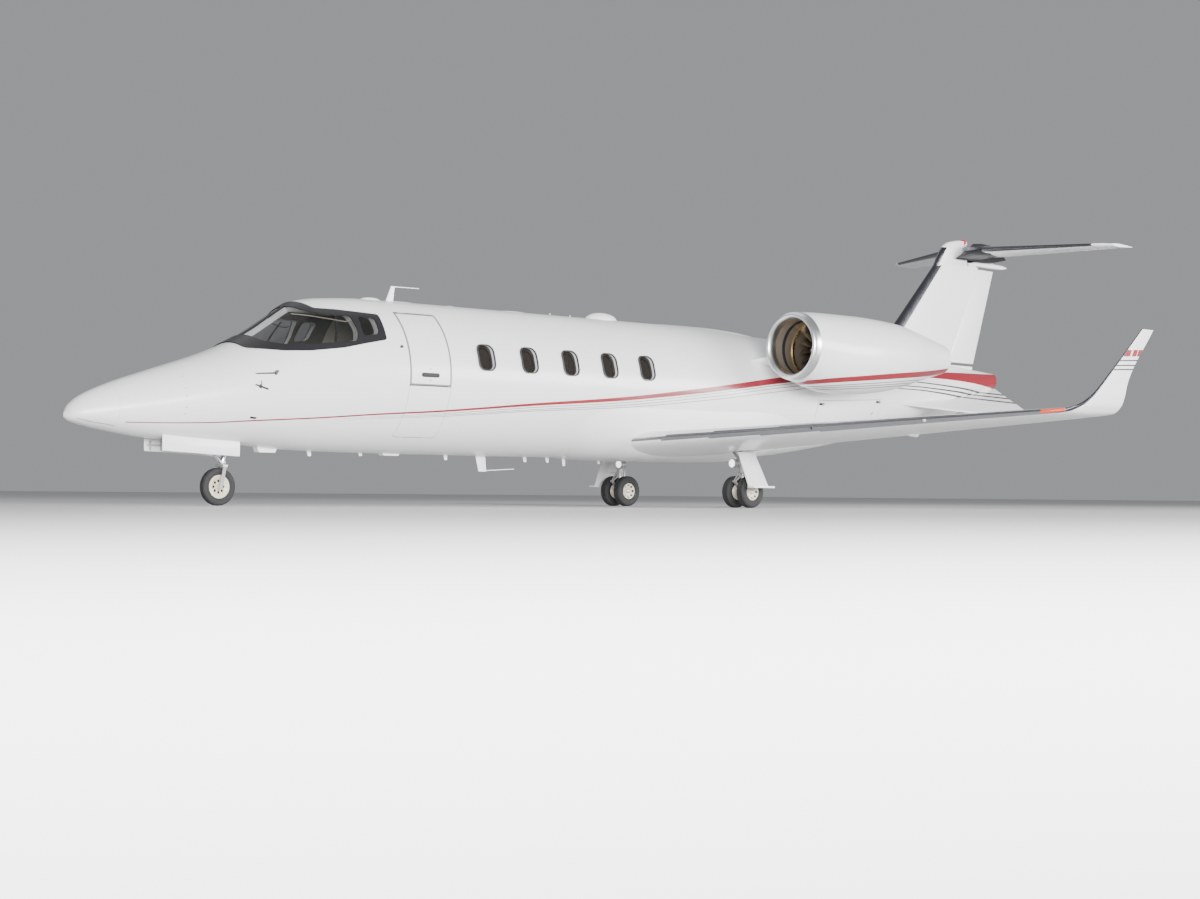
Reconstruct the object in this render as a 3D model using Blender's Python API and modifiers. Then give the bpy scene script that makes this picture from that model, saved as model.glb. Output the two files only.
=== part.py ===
"""Twin-engined business jet on its landing gear: a pressurised cabin with a two-part air-stair
door, low swept wings with winglets, two engines on the rear fuselage and a high tailplane.

Metres, +Z up. The nose points to -X, the aircraft's left side is -Y, and the origin lies on the
ground below the middle of the length. Most pieces are placed by their station, the distance aft
of the nose tip, which along() turns into X.
"""

import math

import bmesh
import bpy
from mathutils import Matrix, Vector

LENGTH = 17.88
WHEEL_TRACK = 2.51
SEAM = 0.0003
HINGE_GAP = 0.007

# Fuselage: station, half width, top, height of the widest point, bottom
BODY = (
    (0.00, 0.012, 1.035, 1.015, 0.995),
    (0.05, 0.100, 1.125, 1.020, 0.955),
    (0.18, 0.190, 1.232, 1.035, 0.915),
    (0.53, 0.318, 1.392, 1.090, 0.848),
    (1.00, 0.435, 1.553, 1.165, 0.785),
    (1.65, 0.590, 1.765, 1.280, 0.750),
    (2.00, 0.665, 1.898, 1.345, 0.737),
    (2.33, 0.730, 2.057, 1.410, 0.720),
    (2.85, 0.820, 2.385, 1.510, 0.686),
    (3.06, 0.852, 2.510, 1.545, 0.680),
    (3.35, 0.886, 2.560, 1.578, 0.673),
    (4.00, 0.942, 2.597, 1.618, 0.666),
    (5.00, 0.968, 2.600, 1.632, 0.664),
    (9.60, 0.968, 2.600, 1.632, 0.664),
    (11.10, 0.950, 2.531, 1.640, 0.740),
    (12.50, 0.880, 2.478, 1.690, 0.910),
    (14.00, 0.720, 2.415, 1.800, 1.200),
    (15.60, 0.490, 2.355, 1.960, 1.620),
    (17.15, 0.075, 2.254, 2.130, 2.020),
)
BODY_SIDES = 32
RADOME_AFT = 0.53
NOSE_AFT = 2.10
COCKPIT_AFT = 4.00
CABIN_AFT = 10.00
TAIL_AFT = 17.15
CABIN_WALL = 0.070
TAIL_WALL = 0.035
BULKHEAD = 0.060
# Front face of the bulkhead behind the baggage hold
HOLD_AFT = 13.60
# Height and radius of the hole in it, for access to the tail cone
ACCESS_HOLE = (1.90, 0.14)

# Belly fairing: station, half width, height of its upper edge, bottom, squareness
BELLY = (
    (6.95, 0.870, 1.410, 0.735, 2.0),
    (7.35, 0.905, 1.410, 0.668, 2.3),
    (7.80, 0.922, 1.410, 0.644, 2.8),
    (8.50, 0.926, 1.410, 0.638, 3.2),
    (10.20, 0.926, 1.410, 0.650, 3.2),
    (10.75, 0.908, 1.420, 0.695, 3.0),
    (11.20, 0.865, 1.450, 0.775, 2.5),
    (11.64, 0.780, 1.480, 0.930, 2.0),
)

# Glass of one cockpit side, windshield and rear pane with the post between, as station and height
WINDSHIELD = (
    (2.32, 1.965), (2.53, 1.920), (2.82, 1.934), (3.12, 1.967), (3.43, 2.000), (3.758, 2.100),
    (3.784, 2.306), (3.45, 2.318), (3.21, 2.312), (2.95, 2.345), (2.86, 2.480), (2.26, 2.120),
)
CENTRE_POST = 0.035

WINDOW_STATIONS = (5.340, 6.055, 6.765, 7.465, 8.155)
WINDOW_HEIGHT = 1.890
WINDOW_SIZE = (0.250, 0.320)
WINDOW_CORNER = 0.085
GLASS = 0.012
GLASS_GAP = 0.0005

DOOR_STATIONS = (4.133, 4.768)
DOOR_TOP = 2.414
DOOR_SPLIT = 1.492
DOOR_BOTTOM = 0.860
DOOR_GAP = 0.006
# Hinge lines of the two leaves, as y and z
UPPER_HINGE = (-0.567, 2.420)
LOWER_HINGE = (-0.5805, 0.854)
KNUCKLE = 0.060
STEP_COUNT = 3

# Baggage door corners in side view: front and rear stations, lower and upper edges at each
BAG_DOOR = ((11.66, 1.05, 1.58), (13.28, 1.30, 1.66))
BAG_KNUCKLES = (12.10, 12.75)
# The baggage door's hinge line lies this far outside the skin at the lower corners. It slopes, so
# the door's front edge moves ahead as it opens and has a wider gap.
BAG_HINGE_OUT = 0.0235
BAG_FRONT_GAP = 0.015
FLOOR_TOP = 0.955
# Club seats: station, and 1 where the chair faces forward or -1 where it faces aft
CLUB_SEATS = ((5.55, -1), (7.05, 1), (8.30, 1))

# Wing and winglet: y, leading edge station and height, trailing edge station and height,
# thickness ratio, lean of the section from level in degrees
WING = (
    (0.50, 7.85, 0.895, 10.55, 0.812, 0.125, 4),
    (1.20, 8.14, 0.938, 10.63, 0.862, 0.115, 4),
    (6.05, 10.13, 1.253, 11.28, 1.223, 0.090, 4),
    (6.22, 10.27, 1.275, 11.31, 1.250, 0.085, 15),
    (6.33, 10.42, 1.345, 11.31, 1.335, 0.080, 45),
    (6.39, 10.58, 1.460, 11.30, 1.455, 0.080, 68),
    (6.44, 10.73, 1.620, 11.285, 1.620, 0.080, 76),
    (6.675, 11.24, 2.300, 11.50, 2.300, 0.080, 76),
)
# Hinged surfaces on the wing: inner y, outer y, chord fraction of the hinge, largest travel
FLAP = (1.02, 3.86, 0.77)
AILERON = (3.92, 5.86, 0.77)
SPOILER = (2.05, 3.50, 0.57, 0.70)
# Hinge lug at the middle of a hinged surface: its rounded end's spread and half width
LUG_SPREAD = math.radians(30)
LUG_HALF = 0.012
SPOILER_THICK = 0.016
SPOILER_LUG = 0.0099
# Slot in the wing for the main leg: stations, distances out, height of its roof
GEAR_SLOT = ((9.52, 9.90), (0.98, 1.42), 0.878)

# Fin: height, leading and trailing edge stations, thickness ratio
FIN = (
    (2.10, 13.71, 16.49, 0.080),
    (4.02, 15.58, 17.14, 0.080),
)
FIN_CAP = (
    (3.96, 15.52, 16.42, 0.110),
    (4.26, 15.72, 16.42, 0.180),
    (4.37, 15.87, 16.42, 0.200),
    (4.425, 16.10, 16.42, 0.240),
)
RUDDER = (2.40, 3.985, 0.73)
BEACON = (16.33, 0.045)

# Tailplane half: y, leading and trailing edge stations, height, thickness ratio
TAILPLANE = (
    (0.000, 15.95, 17.38, 4.255, 0.105),
    (0.120, 16.02, 17.39, 4.256, 0.105),
    (2.080, 17.10, 17.80, 4.280, 0.090),
    (2.240, 17.30, 17.88, 4.282, 0.080),
)
ELEVATOR = (0.280, 2.060, 0.72)
TRIM_PIVOT = (17.10, 4.205)
ROOT_PLATE = ((15.99, 4.105), (16.48, 4.385), (17.20, 4.320), (17.36, 4.190), (16.95, 4.110))
ROOT_PLATE_Y = (0.094, 0.108)
TAIL_BULLET = ((16.50, 0.010), (16.62, 0.036), (17.10, 0.043), (17.36, 0.036), (17.50, 0.012))
BULLET_HEIGHT = 4.075

# Delta fin beside the tail cone: corners as station and distance out along the panel, the height
# of its plane at the middle of the aircraft, and its slope in degrees
DELTA = ((13.75, 0.05), (13.75, 0.80), (15.60, 1.00), (17.04, 1.00), (17.12, 0.05))
DELTA_ROOT = 2.02
DELTA_LEAN = 29.8
DELTA_THICK = 0.030

# Engine pods: station, then the height of the centre and the radius of the outside and the duct
POD_Y = 1.530
POD = (
    (10.50, 2.288, 0.488, 2.288, 0.388),
    (10.75, 2.258, 0.528, 2.262, 0.392),
    (10.90, 2.240, 0.548, 2.255, 0.400),
    (11.15, 2.222, 0.567, 2.255, 0.400),
    (11.60, 2.218, 0.570, 2.255, 0.470),
    (12.20, 2.230, 0.535, 2.255, 0.470),
    (12.70, 2.248, 0.470, 2.256, 0.425),
    (13.20, 2.262, 0.352, 2.262, 0.330),
    (13.50, 2.265, 0.282, 2.265, 0.264),
    (13.75, 2.265, 0.225, 2.265, 0.212),
)
POD_SIDES = 24
LIP_FRONT = 10.37
ENGINE_Z = 2.255
FAN_STATION = 11.02
FAN_RADIUS = 0.386
FAN_HUB = 0.130
FAN_BACK = 0.070
FAN_BLADES = 16
ENGINE_CORE = (0.300, 11.20, 12.75)
# Pylon: distance out, leading and trailing edge stations, height, thickness ratio
PYLON = (
    (0.50, 9.98, 13.55, 2.040, 0.055),
    (1.45, 10.95, 13.20, 2.225, 0.080),
)

# Wheels: axle station, height of the axle, tyre radius and width, rim radius
NOSE_WHEEL = (2.01, 0.225, 0.225, 0.110, 0.140)
MAIN_WHEEL = (9.72, 0.222, 0.222, 0.146, 0.115)
TWIN_OFFSET = 0.140
AXLE_HALF, AXLE_RADIUS = 0.048, 0.030
# Top of the steering axis as station and height; inner and outer face of a fork arm, fork height
STEER_TOP = (2.105, 0.68)
FORK_IN, FORK_OUT, FORK_TOP = 0.066, 0.086, 0.446
TRUNNION_Z = 0.930
NOSE_WELL = ((1.17, 2.24), 0.185, 1.02)
NOSE_DOOR = ((1.14, 2.18), 0.200, 0.012)
LEG_RADIUS = 0.055
# Strut door: stations, distance out and height of the upper and of the lower edge, thickness
STRUT_DOOR = ((9.50, 9.82), (1.359, 0.775), (9.50, 9.89), (1.570, 0.290), 0.022)


# Measuring

def along(station):
    return station - LENGTH / 2


def smooth(rows, station, column):
    """A column's value at a station, on a curve through the rows that never overshoots them."""
    last = len(rows) - 2
    row = 0
    while row < last and rows[row + 1][0] < station:
        row += 1

    def chord(k):
        return (rows[k + 1][column] - rows[k][column]) / (rows[k + 1][0] - rows[k][0])

    def slope(k):
        if k == 0:
            return chord(0)
        if k > last:
            return chord(last)
        before, after = chord(k - 1), chord(k)
        return 2 * before * after / (before + after) if before * after > 0 else 0.0

    step = rows[row + 1][0] - rows[row][0]
    t = min(max((station - rows[row][0]) / step, 0.0), 1.0)
    start, end = rows[row][column], rows[row + 1][column]
    rise = (3 - 2 * t) * t * t
    return (
        start * (1 - rise) + end * rise
        + (t - 1) * t * step * ((t - 1) * slope(row) + t * slope(row + 1))
    )


def body_ring(station, grow=0.0):
    """Points round the fuselage at a station, moved out by grow."""
    half, top, wide, bottom = (smooth(BODY, station, column) for column in (1, 2, 3, 4))
    ring = []
    for side in range(BODY_SIDES):
        angle = 2 * math.pi * side / BODY_SIDES
        reach = (top - wide if math.sin(angle) > 0 else wide - bottom) + grow
        ring.append(Vector((
            along(station), (half + grow) * math.cos(angle), wide + reach * math.sin(angle)
        )))
    return ring


def body_side(station, height, grow=0.0):
    """How far out the fuselage's skin is at a station and height."""
    half, top, wide, bottom = (smooth(BODY, station, column) for column in (1, 2, 3, 4))
    reach = (top - wide if height > wide else wide - bottom) + grow
    return (half + grow) * math.sqrt(max(0.0, 1 - ((height - wide) / reach) ** 2))


def belly_ring(row, grow=0.0):
    station, half, edge, bottom, power = row
    ring = []
    for side in range(19):
        angle = math.pi * side / 18
        out = (half + grow) * math.copysign(abs(math.cos(angle)) ** (2 / power), math.cos(angle))
        down = (edge - bottom + grow) * math.sin(angle) ** (2 / power)
        ring.append(Vector((along(station), out, edge - down)))
    return ring


def pod_ring(station, height, radius):
    """Circle round the left pod at a station."""
    return [
        Vector((
            along(station),
            -POD_Y + radius * math.cos(2 * math.pi * side / POD_SIDES),
            height + radius * math.sin(2 * math.pi * side / POD_SIDES),
        ))
        for side in range(POD_SIDES)
    ]


def foil_half(fraction, ratio):
    """Half thickness of a section, as a share of its chord."""
    root = math.sqrt(fraction)
    curve = 0.2969 * root - 0.126 * fraction - 0.3516 * fraction ** 2
    curve += 0.2843 * fraction ** 3 - 0.1036 * fraction ** 4
    return 5 * ratio * curve + 0.002 * fraction


FOIL_STEPS = (0.0, 0.01, 0.04, 0.10, 0.20, 0.35, 0.50, 0.65, 0.80, 1.0)


def foil_ring(front, rear, ratio, up):
    """Section of a wing from its leading edge round the top and back along the bottom."""
    chord = (rear - front).length
    above = [
        front.lerp(rear, step) + up * foil_half(step, ratio) * chord for step in FOIL_STEPS
    ]
    below = [
        front.lerp(rear, step) - up * foil_half(step, ratio) * chord for step in FOIL_STEPS[1:]
    ]
    return above + below[::-1]


def wing_edges(out):
    """Leading and trailing edge points of the left wing and its thickness ratio at a distance out."""
    for inner, outer in zip(WING, WING[1:]):
        if inner[0] <= out <= outer[0]:
            break
    t = (out - inner[0]) / (outer[0] - inner[0])
    y, front, front_z, rear, rear_z, ratio, _ = (a + (b - a) * t for a, b in zip(inner, outer))
    return Vector((along(front), -y, front_z)), Vector((along(rear), -y, rear_z)), ratio


# Scene and modelling tools

for old in list(bpy.data.objects):
    bpy.data.objects.remove(old, do_unlink=True)
jet = bpy.data.collections.new("business_jet")
cutters = bpy.data.collections.new("cutters")
for group in (jet, cutters):
    bpy.context.scene.collection.children.link(group)


def paint(name, colour, metallic=0.0, roughness=0.35):
    made = bpy.data.materials.new(name)
    made.use_nodes = True
    shader = made.node_tree.nodes["Principled BSDF"]
    shader.inputs["Base Color"].default_value = (*colour, 1.0)
    shader.inputs["Metallic"].default_value = metallic
    shader.inputs["Roughness"].default_value = roughness
    return made


WHITE = paint("white_paint", (0.86, 0.87, 0.88))
POLISHED = paint("polished_metal", (0.78, 0.79, 0.80), 1.0, 0.15)
BARE = paint("bare_metal", (0.55, 0.56, 0.58), 1.0, 0.40)
TITANIUM = paint("titanium", (0.45, 0.42, 0.38), 1.0, 0.45)
RUBBER = paint("tyre_rubber", (0.03, 0.03, 0.03), 0.0, 0.85)
CREAM = paint("wheel_enamel", (0.80, 0.75, 0.62), 0.0, 0.40)
TINTED = paint("tinted_glass", (0.10, 0.11, 0.11), 0.0, 0.05)
DARK = paint("dark_trim", (0.05, 0.05, 0.05), 0.0, 0.70)
HIDE = paint("tan_leather", (0.55, 0.44, 0.32), 0.0, 0.55)
CARPET = paint("carpet", (0.35, 0.31, 0.26), 0.0, 0.95)


def put(name, mesh, finish=None):
    """Adds a mesh as a node, or as a cutter where it has no finish."""
    made = bpy.data.objects.new(name, mesh)
    (jet if finish else cutters).objects.link(made)
    if finish:
        mesh.materials.clear()
        mesh.materials.append(finish)
        mesh.shade_smooth()
        mesh.set_sharp_from_angle(angle=math.radians(32))
    else:
        made.hide_render = True
        made.display_type = "WIRE"
    return made


def finished(name, shape, finish=None):
    bmesh.ops.recalc_face_normals(shape, faces=shape.faces)
    mesh = bpy.data.meshes.new(name)
    shape.to_mesh(mesh)
    shape.free()
    return put(name, mesh, finish)


def bridge(shape, ring, following, split=False):
    """Joins two rings of points, where split is set by triangles that match left and right."""
    count = len(ring)
    for k in range(count):
        after = (k + 1) % count
        if not split:
            shape.faces.new((ring[k], ring[after], following[after], following[k]))
            continue
        near, far = (k, after) if ring[k].co.y + ring[after].co.y > 0 else (after, k)
        shape.faces.new((ring[near], ring[far], following[far]))
        shape.faces.new((ring[near], following[far], following[near]))


def loft(name, rings, finish=None, split=False):
    """Solid through rings of points, closed by a flat face at each end."""
    shape = bmesh.new()
    rows = [[shape.verts.new(point) for point in ring] for ring in rings]
    for ring, following in zip(rows, rows[1:]):
        bridge(shape, ring, following, split)
    shape.faces.new(rows[0])
    shape.faces.new(rows[-1])
    return finished(name, shape, finish)


def pipe(name, outer, inner, finish=None):
    """Wall between an outer and an inner run of rings, open at both ends."""
    shape = bmesh.new()
    skins = [[[shape.verts.new(point) for point in ring] for ring in run] for run in (outer, inner)]
    for skin in skins:
        for ring, following in zip(skin, skin[1:]):
            bridge(shape, ring, following, split=True)
    for end in (0, -1):
        bridge(shape, skins[0][end], skins[1][end])
    return finished(name, shape, finish)


def block(name, low, high, finish=None, matrix=None):
    """Box between two corners, turned and placed by a matrix where one is given."""
    shape = bmesh.new()
    low, high = Vector(low), Vector(high)
    size = high - low
    place = Matrix.Translation((low + high) / 2) @ Matrix.Diagonal((*size, 1.0))
    bmesh.ops.create_cube(shape, size=1.0, matrix=(matrix or Matrix.Identity(4)) @ place)
    return finished(name, shape, finish)


def prism(name, outline, low, high, finish=None):
    """Side-view outline of stations and heights, carried across from y low to y high."""
    rings = [[Vector((along(s), y, z)) for s, z in outline] for y in (low, high)]
    return loft(name, rings, finish)


def rod(name, start, end, radius, finish=None, sides=16, end_radius=None):
    shape = bmesh.new()
    start, end = Vector(start), Vector(end)
    turn = (end - start).to_track_quat("Z", "Y").to_matrix().to_4x4()
    bmesh.ops.create_cone(
        shape, cap_ends=True, segments=sides, radius1=radius,
        radius2=radius if end_radius is None else end_radius, depth=(end - start).length,
        matrix=Matrix.Translation((start + end) / 2) @ turn,
    )
    return finished(name, shape, finish)


def turned(name, profile, centre, finish=None, sides=24, axle="Y", ring=False):
    """Profile of distances along the axle and radii, turned round the axle through centre.

    Distances count aft, or out to the left, and run from the largest to the smallest down the
    outer side. A ring closes its profile on itself; any other starts and ends on the axle.
    """
    shape = bmesh.new()
    points = [shape.verts.new((radius, 0.0, distance)) for distance, radius in profile]
    for start, end in zip(points, points[1:]):
        shape.edges.new((start, end))
    if ring:
        shape.edges.new((points[-1], points[0]))
    mesh = bpy.data.meshes.new(name)
    shape.to_mesh(mesh)
    shape.free()
    made = put(name, mesh, finish)
    made.location = centre
    made.rotation_euler = (math.pi / 2, 0.0, 0.0) if axle == "Y" else (0.0, math.pi / 2, 0.0)
    screw = made.modifiers.new("turn", "SCREW")
    screw.steps = screw.render_steps = sides
    screw.use_merge_vertices = True
    screw.merge_threshold = 0.0001
    return made


def combine(part, tool, operation, solver="EXACT"):
    step = part.modifiers.new(f"{operation.lower()}_{tool.name}", "BOOLEAN")
    step.operation = operation
    step.object = tool
    step.solver = solver


def cut(part, *tools):
    for tool in tools:
        combine(part, tool, "DIFFERENCE")


def join(part, *tools):
    for tool in tools:
        combine(part, tool, "UNION")


def keep(part, tool):
    combine(part, tool, "INTERSECT")


def right_hand(part):
    """Copy of a left-hand piece, or of a left-hand cutter, on the aircraft's right side."""
    bpy.context.view_layer.update()
    graph = bpy.context.evaluated_depsgraph_get()
    mesh = bpy.data.meshes.new_from_object(part.evaluated_get(graph), depsgraph=graph)
    mesh.transform(Matrix.Diagonal((1.0, -1.0, 1.0, 1.0)) @ part.matrix_world)
    mesh.flip_normals()
    finish = part.data.materials[0] if part.data.materials else None
    made = put(part.name.replace("left", "right"), mesh, finish)
    set_origin(made, part.matrix_world.translation * Vector((1.0, -1.0, 1.0)))
    return made


def set_origin(part, point):
    """Moves a piece's origin onto its joint's axis and leaves its shape in place."""
    part.data.transform(Matrix.Translation(-Vector(point)))
    part.location = point


def body_solid(name, stations, grow, finish=None):
    return loft(name, [body_ring(station, grow) for station in stations], finish, split=True)


def body_wall(name, stations, wall, finish):
    outer = [body_ring(station) for station in stations]
    inner = [body_ring(station, -wall) for station in stations]
    return pipe(name, outer, inner, finish)


def spread(first, last, count):
    return [first + (last - first) * k / count for k in range(count + 1)]


# Nose

radome_stations = [0.0, 0.02, 0.05, 0.11, 0.20, 0.35, RADOME_AFT - SEAM / 2]
radome = body_solid("radome", radome_stations, 0.0, WHITE)

nose_stations = spread(RADOME_AFT + SEAM / 2, NOSE_AFT - SEAM / 2, 6)
nose = body_solid("nose_section", nose_stations, 0.0, WHITE)
(well_front, well_rear), well_half, well_top = NOSE_WELL
nose_well = block(
    "nose_well_cutter", (along(well_front), -well_half, 0.5), (along(well_rear), well_half, well_top)
)
cut(nose, nose_well)

# Cockpit and cabin walls

cockpit_stations = spread(NOSE_AFT + SEAM / 2, COCKPIT_AFT - SEAM / 2, 9)
cockpit = body_wall("cockpit_shell", cockpit_stations, CABIN_WALL, WHITE)
for hand, side in (("left", -1), ("right", 1)):
    cut(cockpit, prism(
        f"windshield_{hand}_cutter", WINDSHIELD, side * CENTRE_POST, side * 1.1
    ))
cut(cockpit, nose_well)

cabin_stations = [COCKPIT_AFT + SEAM / 2, 4.5, 5.0, 7.3, 9.6, CABIN_AFT - SEAM / 2]
cabin = body_wall("cabin_shell", cabin_stations, CABIN_WALL, WHITE)


def window_outline(station, grow=0.0, sides=4):
    """Rounded rectangle of a cabin window in side view."""
    half_w, half_h = WINDOW_SIZE[0] / 2 + grow, WINDOW_SIZE[1] / 2 + grow
    radius = WINDOW_CORNER + grow
    points = []
    for quarter in range(4):
        turn = math.pi / 2 * quarter
        corner_s = (half_w - radius) * (1 if quarter in (0, 3) else -1)
        corner_z = (half_h - radius) * (1 if quarter in (0, 1) else -1)
        for k in range(sides + 1):
            angle = turn + math.pi / 2 * k / sides
            points.append((
                station + corner_s + radius * math.cos(angle),
                WINDOW_HEIGHT + corner_z + radius * math.sin(angle),
            ))
    return points


for number, station in enumerate(WINDOW_STATIONS, 1):
    for hand, side in (("left", -1), ("right", 1)):
        outline = window_outline(station, sides=2)
        cut(cabin, prism(f"window_{hand}_{number}_cutter", outline, side * 0.6, side * 1.2))

front, rear = DOOR_STATIONS
door_opening = block(
    "door_opening_cutter", (along(front), -1.2, DOOR_BOTTOM), (along(rear), -0.2, DOOR_TOP)
)
cut(cabin, door_opening)

# Cabin door in two leaves

leaf_limits = {
    "door_upper": (DOOR_SPLIT + DOOR_GAP, DOOR_TOP - DOOR_GAP, UPPER_HINGE),
    "door_lower": (DOOR_BOTTOM + DOOR_GAP, DOOR_SPLIT - DOOR_GAP, LOWER_HINGE),
}
leaves = {}
for name, (low, high, hinge) in leaf_limits.items():
    leaf = body_wall(name, cabin_stations[:3], CABIN_WALL, WHITE)
    keep(leaf, block(
        f"{name}_limits",
        (along(front + DOOR_GAP), -1.2, low),
        (along(rear - DOOR_GAP), -0.2, high),
    ))
    hinge_y, hinge_z = hinge
    edge_z = DOOR_TOP - SEAM if hinge_z > DOOR_SPLIT else DOOR_BOTTOM + SEAM
    deep_z = edge_z + math.copysign(DOOR_GAP + 0.012, DOOR_SPLIT - edge_z)
    for station in (front + 0.10, rear - 0.10 - KNUCKLE):
        join(leaf, block(
            f"{name}_knuckle",
            (along(station), hinge_y - 0.002, min(edge_z, deep_z)),
            (along(station + KNUCKLE), hinge_y + 0.012, max(edge_z, deep_z)),
        ))
    set_origin(leaf, (along(front), hinge_y, hinge_z))
    leaves[name] = leaf


def wall_point(angle, depth):
    """Point on the cabin's left wall in a cross-section, by its angle below the widest point."""
    radius = BODY[12][1] - depth
    return Vector((0.0, -radius * math.cos(angle), BODY[12][3] - radius * math.sin(angle)))


for number in range(STEP_COUNT):
    foot = math.radians(42 - 11.5 * number)
    head = foot - math.radians(8.5)
    corner = (wall_point(foot, 0.10) + wall_point(head, 0.10)) / 2 + Vector((0.0, 0.12, 0.02))
    ring = [wall_point(foot, 0.055), wall_point(head, 0.055), wall_point(head, 0.085), corner]
    join(leaves["door_lower"], loft(f"door_step_{number + 1}", [
        [point + Vector((along(station), 0.0, 0.0)) for point in ring]
        for station in (front + 0.07, rear - 0.07)
    ]))

# Rear fuselage, its bulkheads and the baggage door

tail_stations = [
    CABIN_AFT + SEAM / 2, 10.7, 11.4, 12.1, 12.8, 13.5, 14.1, 14.6, 15.2, 15.8, 16.5, TAIL_AFT
]
tail = body_wall("tail_section", tail_stations, TAIL_WALL, WHITE)
(bag_front, bag_low_front, bag_high_front), (bag_rear, bag_low_rear, bag_high_rear) = BAG_DOOR


def bag_outline(gap, front_gap):
    return (
        (bag_front + front_gap, bag_low_front + gap),
        (bag_rear - gap, bag_low_rear + gap),
        (bag_rear - gap, bag_high_rear - gap),
        (bag_front + front_gap, bag_high_front - gap),
    )


cut(tail, prism("baggage_opening_cutter", bag_outline(0.0, 0.0), -1.2, -0.3))
baggage_door = body_wall("baggage_door", tail_stations[2:6], TAIL_WALL, WHITE)
keep(baggage_door, prism("baggage_door_limits", bag_outline(DOOR_GAP, BAG_FRONT_GAP), -1.2, -0.3))
for station in BAG_KNUCKLES:
    share = (station - bag_front) / (bag_rear - bag_front)
    edge_z = bag_low_front + (bag_low_rear - bag_low_front) * share
    rise = (bag_low_rear - bag_low_front) / (bag_rear - bag_front) * KNUCKLE
    edge_y = body_side(station, edge_z)
    join(baggage_door, prism(f"baggage_knuckle_{station:.2f}", (
        (station, edge_z + 2 * SEAM), (station + KNUCKLE, edge_z + rise + 2 * SEAM),
        (station + KNUCKLE, edge_z + rise + 0.020), (station, edge_z + 0.020),
    ), -edge_y + 0.004, -edge_y + 0.023))
set_origin(baggage_door, (
    along(bag_front), -body_side(bag_front, bag_low_front) - BAG_HINGE_OUT,
    bag_low_front - DOOR_GAP,
))
join(
    tail, body_solid("tail_cone_end", (TAIL_AFT - 0.05, TAIL_AFT - 0.01), -TAIL_WALL / 2),
    body_solid("hold_bulkhead", (HOLD_AFT, HOLD_AFT + BULKHEAD), -TAIL_WALL / 2),
)
cut(tail, rod(
    "access_hole_cutter", (along(HOLD_AFT - 0.05), 0.0, ACCESS_HOLE[0]),
    (along(HOLD_AFT + BULKHEAD + 0.05), 0.0, ACCESS_HOLE[0]), ACCESS_HOLE[1], sides=16,
))
join(cabin, body_solid(
    "aft_bulkhead", (CABIN_AFT - BULKHEAD, CABIN_AFT - 0.01), -CABIN_WALL / 2
))
skin_cutter = body_solid(
    "skin_cutter", nose_stations + cockpit_stations + cabin_stations + tail_stations, SEAM
)
cabin_room = body_solid("cabin_room", cockpit_stations + cabin_stations, -CABIN_WALL - SEAM)

# Belly fairing round the wing's root

belly = loft("belly_fairing", [belly_ring(row) for row in BELLY], WHITE, split=True)
combine(belly, skin_cutter, "DIFFERENCE", "MANIFOLD")
belly_cutter = loft("belly_cutter", [belly_ring(row, SEAM) for row in BELLY], split=True)

# Left wing, with the room for its hinged surfaces cut out


def hinge_frame(point, rear, axis):
    """Unit vectors aft and up of a section square to a hinge."""
    aft = rear - point
    aft -= aft.dot(axis) * axis
    length = aft.length
    aft.normalize()
    return aft, aft.cross(axis).normalized(), length


def hinged(name, ends, finish, level=None, nose_sides=6, edge=0.004):
    """Moving surface with a round nose on its hinge, and the cutter that makes its room.

    Each end is a hinge point, a trailing edge point and the half thickness at the hinge. The
    ends are square to the hinge, or in planes whose normal is level.
    """
    axis = (ends[1][0] - ends[0][0]).normalized()
    rings, room = [], []
    for number, (point, rear, half) in enumerate(ends):
        aft, up, length = hinge_frame(point, rear, axis)
        ring = []
        for k in range(nose_sides + 1):
            angle = math.pi / 2 + math.pi * k / nose_sides
            ring.append(point + half * (math.cos(angle) * aft + math.sin(angle) * up))
        ring += [point + length * aft - edge * up, point + length * aft + edge * up]
        if level:
            ring = [p - axis * ((p - point).dot(level) / axis.dot(level)) for p in ring]
        rings.append(ring)
        apart = axis * HINGE_GAP * (1 if number else -1)
        ahead, behind = -(half + HINGE_GAP) * aft, (length + 0.3) * aft
        tall = 0.5 * up
        limits = [ahead - tall, behind - tall, behind + tall, ahead + tall]
        if level:
            apart *= 8
            limits = [p - axis * (p.dot(level) / axis.dot(level)) for p in limits]
        room.append([point + apart + p for p in limits])
    surface = loft(name, rings, finish)
    middle = (ends[0][0] + ends[1][0]) / 2
    half = (ends[0][2] + ends[1][2]) / 2
    aft, up, _ = hinge_frame(middle, (ends[0][1] + ends[1][1]) / 2, axis)
    reach = half + HINGE_GAP - 2 * SEAM
    sector = [middle]
    for k in range(-2, 3):
        angle = LUG_SPREAD / 4 * k
        sector.append(middle + reach * (math.sin(angle) * up - math.cos(angle) * aft))
    join(surface, loft(f"{name}_lug", [
        [point + axis * side * LUG_HALF for point in sector] for side in (-1, 1)
    ]))
    set_origin(surface, ends[0][0])
    return surface, loft(f"{name}_room", room)


def wing_hinge(out, fraction):
    front, rear, ratio = wing_edges(out)
    half = foil_half(fraction, ratio) * (rear - front).length
    return front.lerp(rear, fraction), rear, half * 0.97


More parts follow.
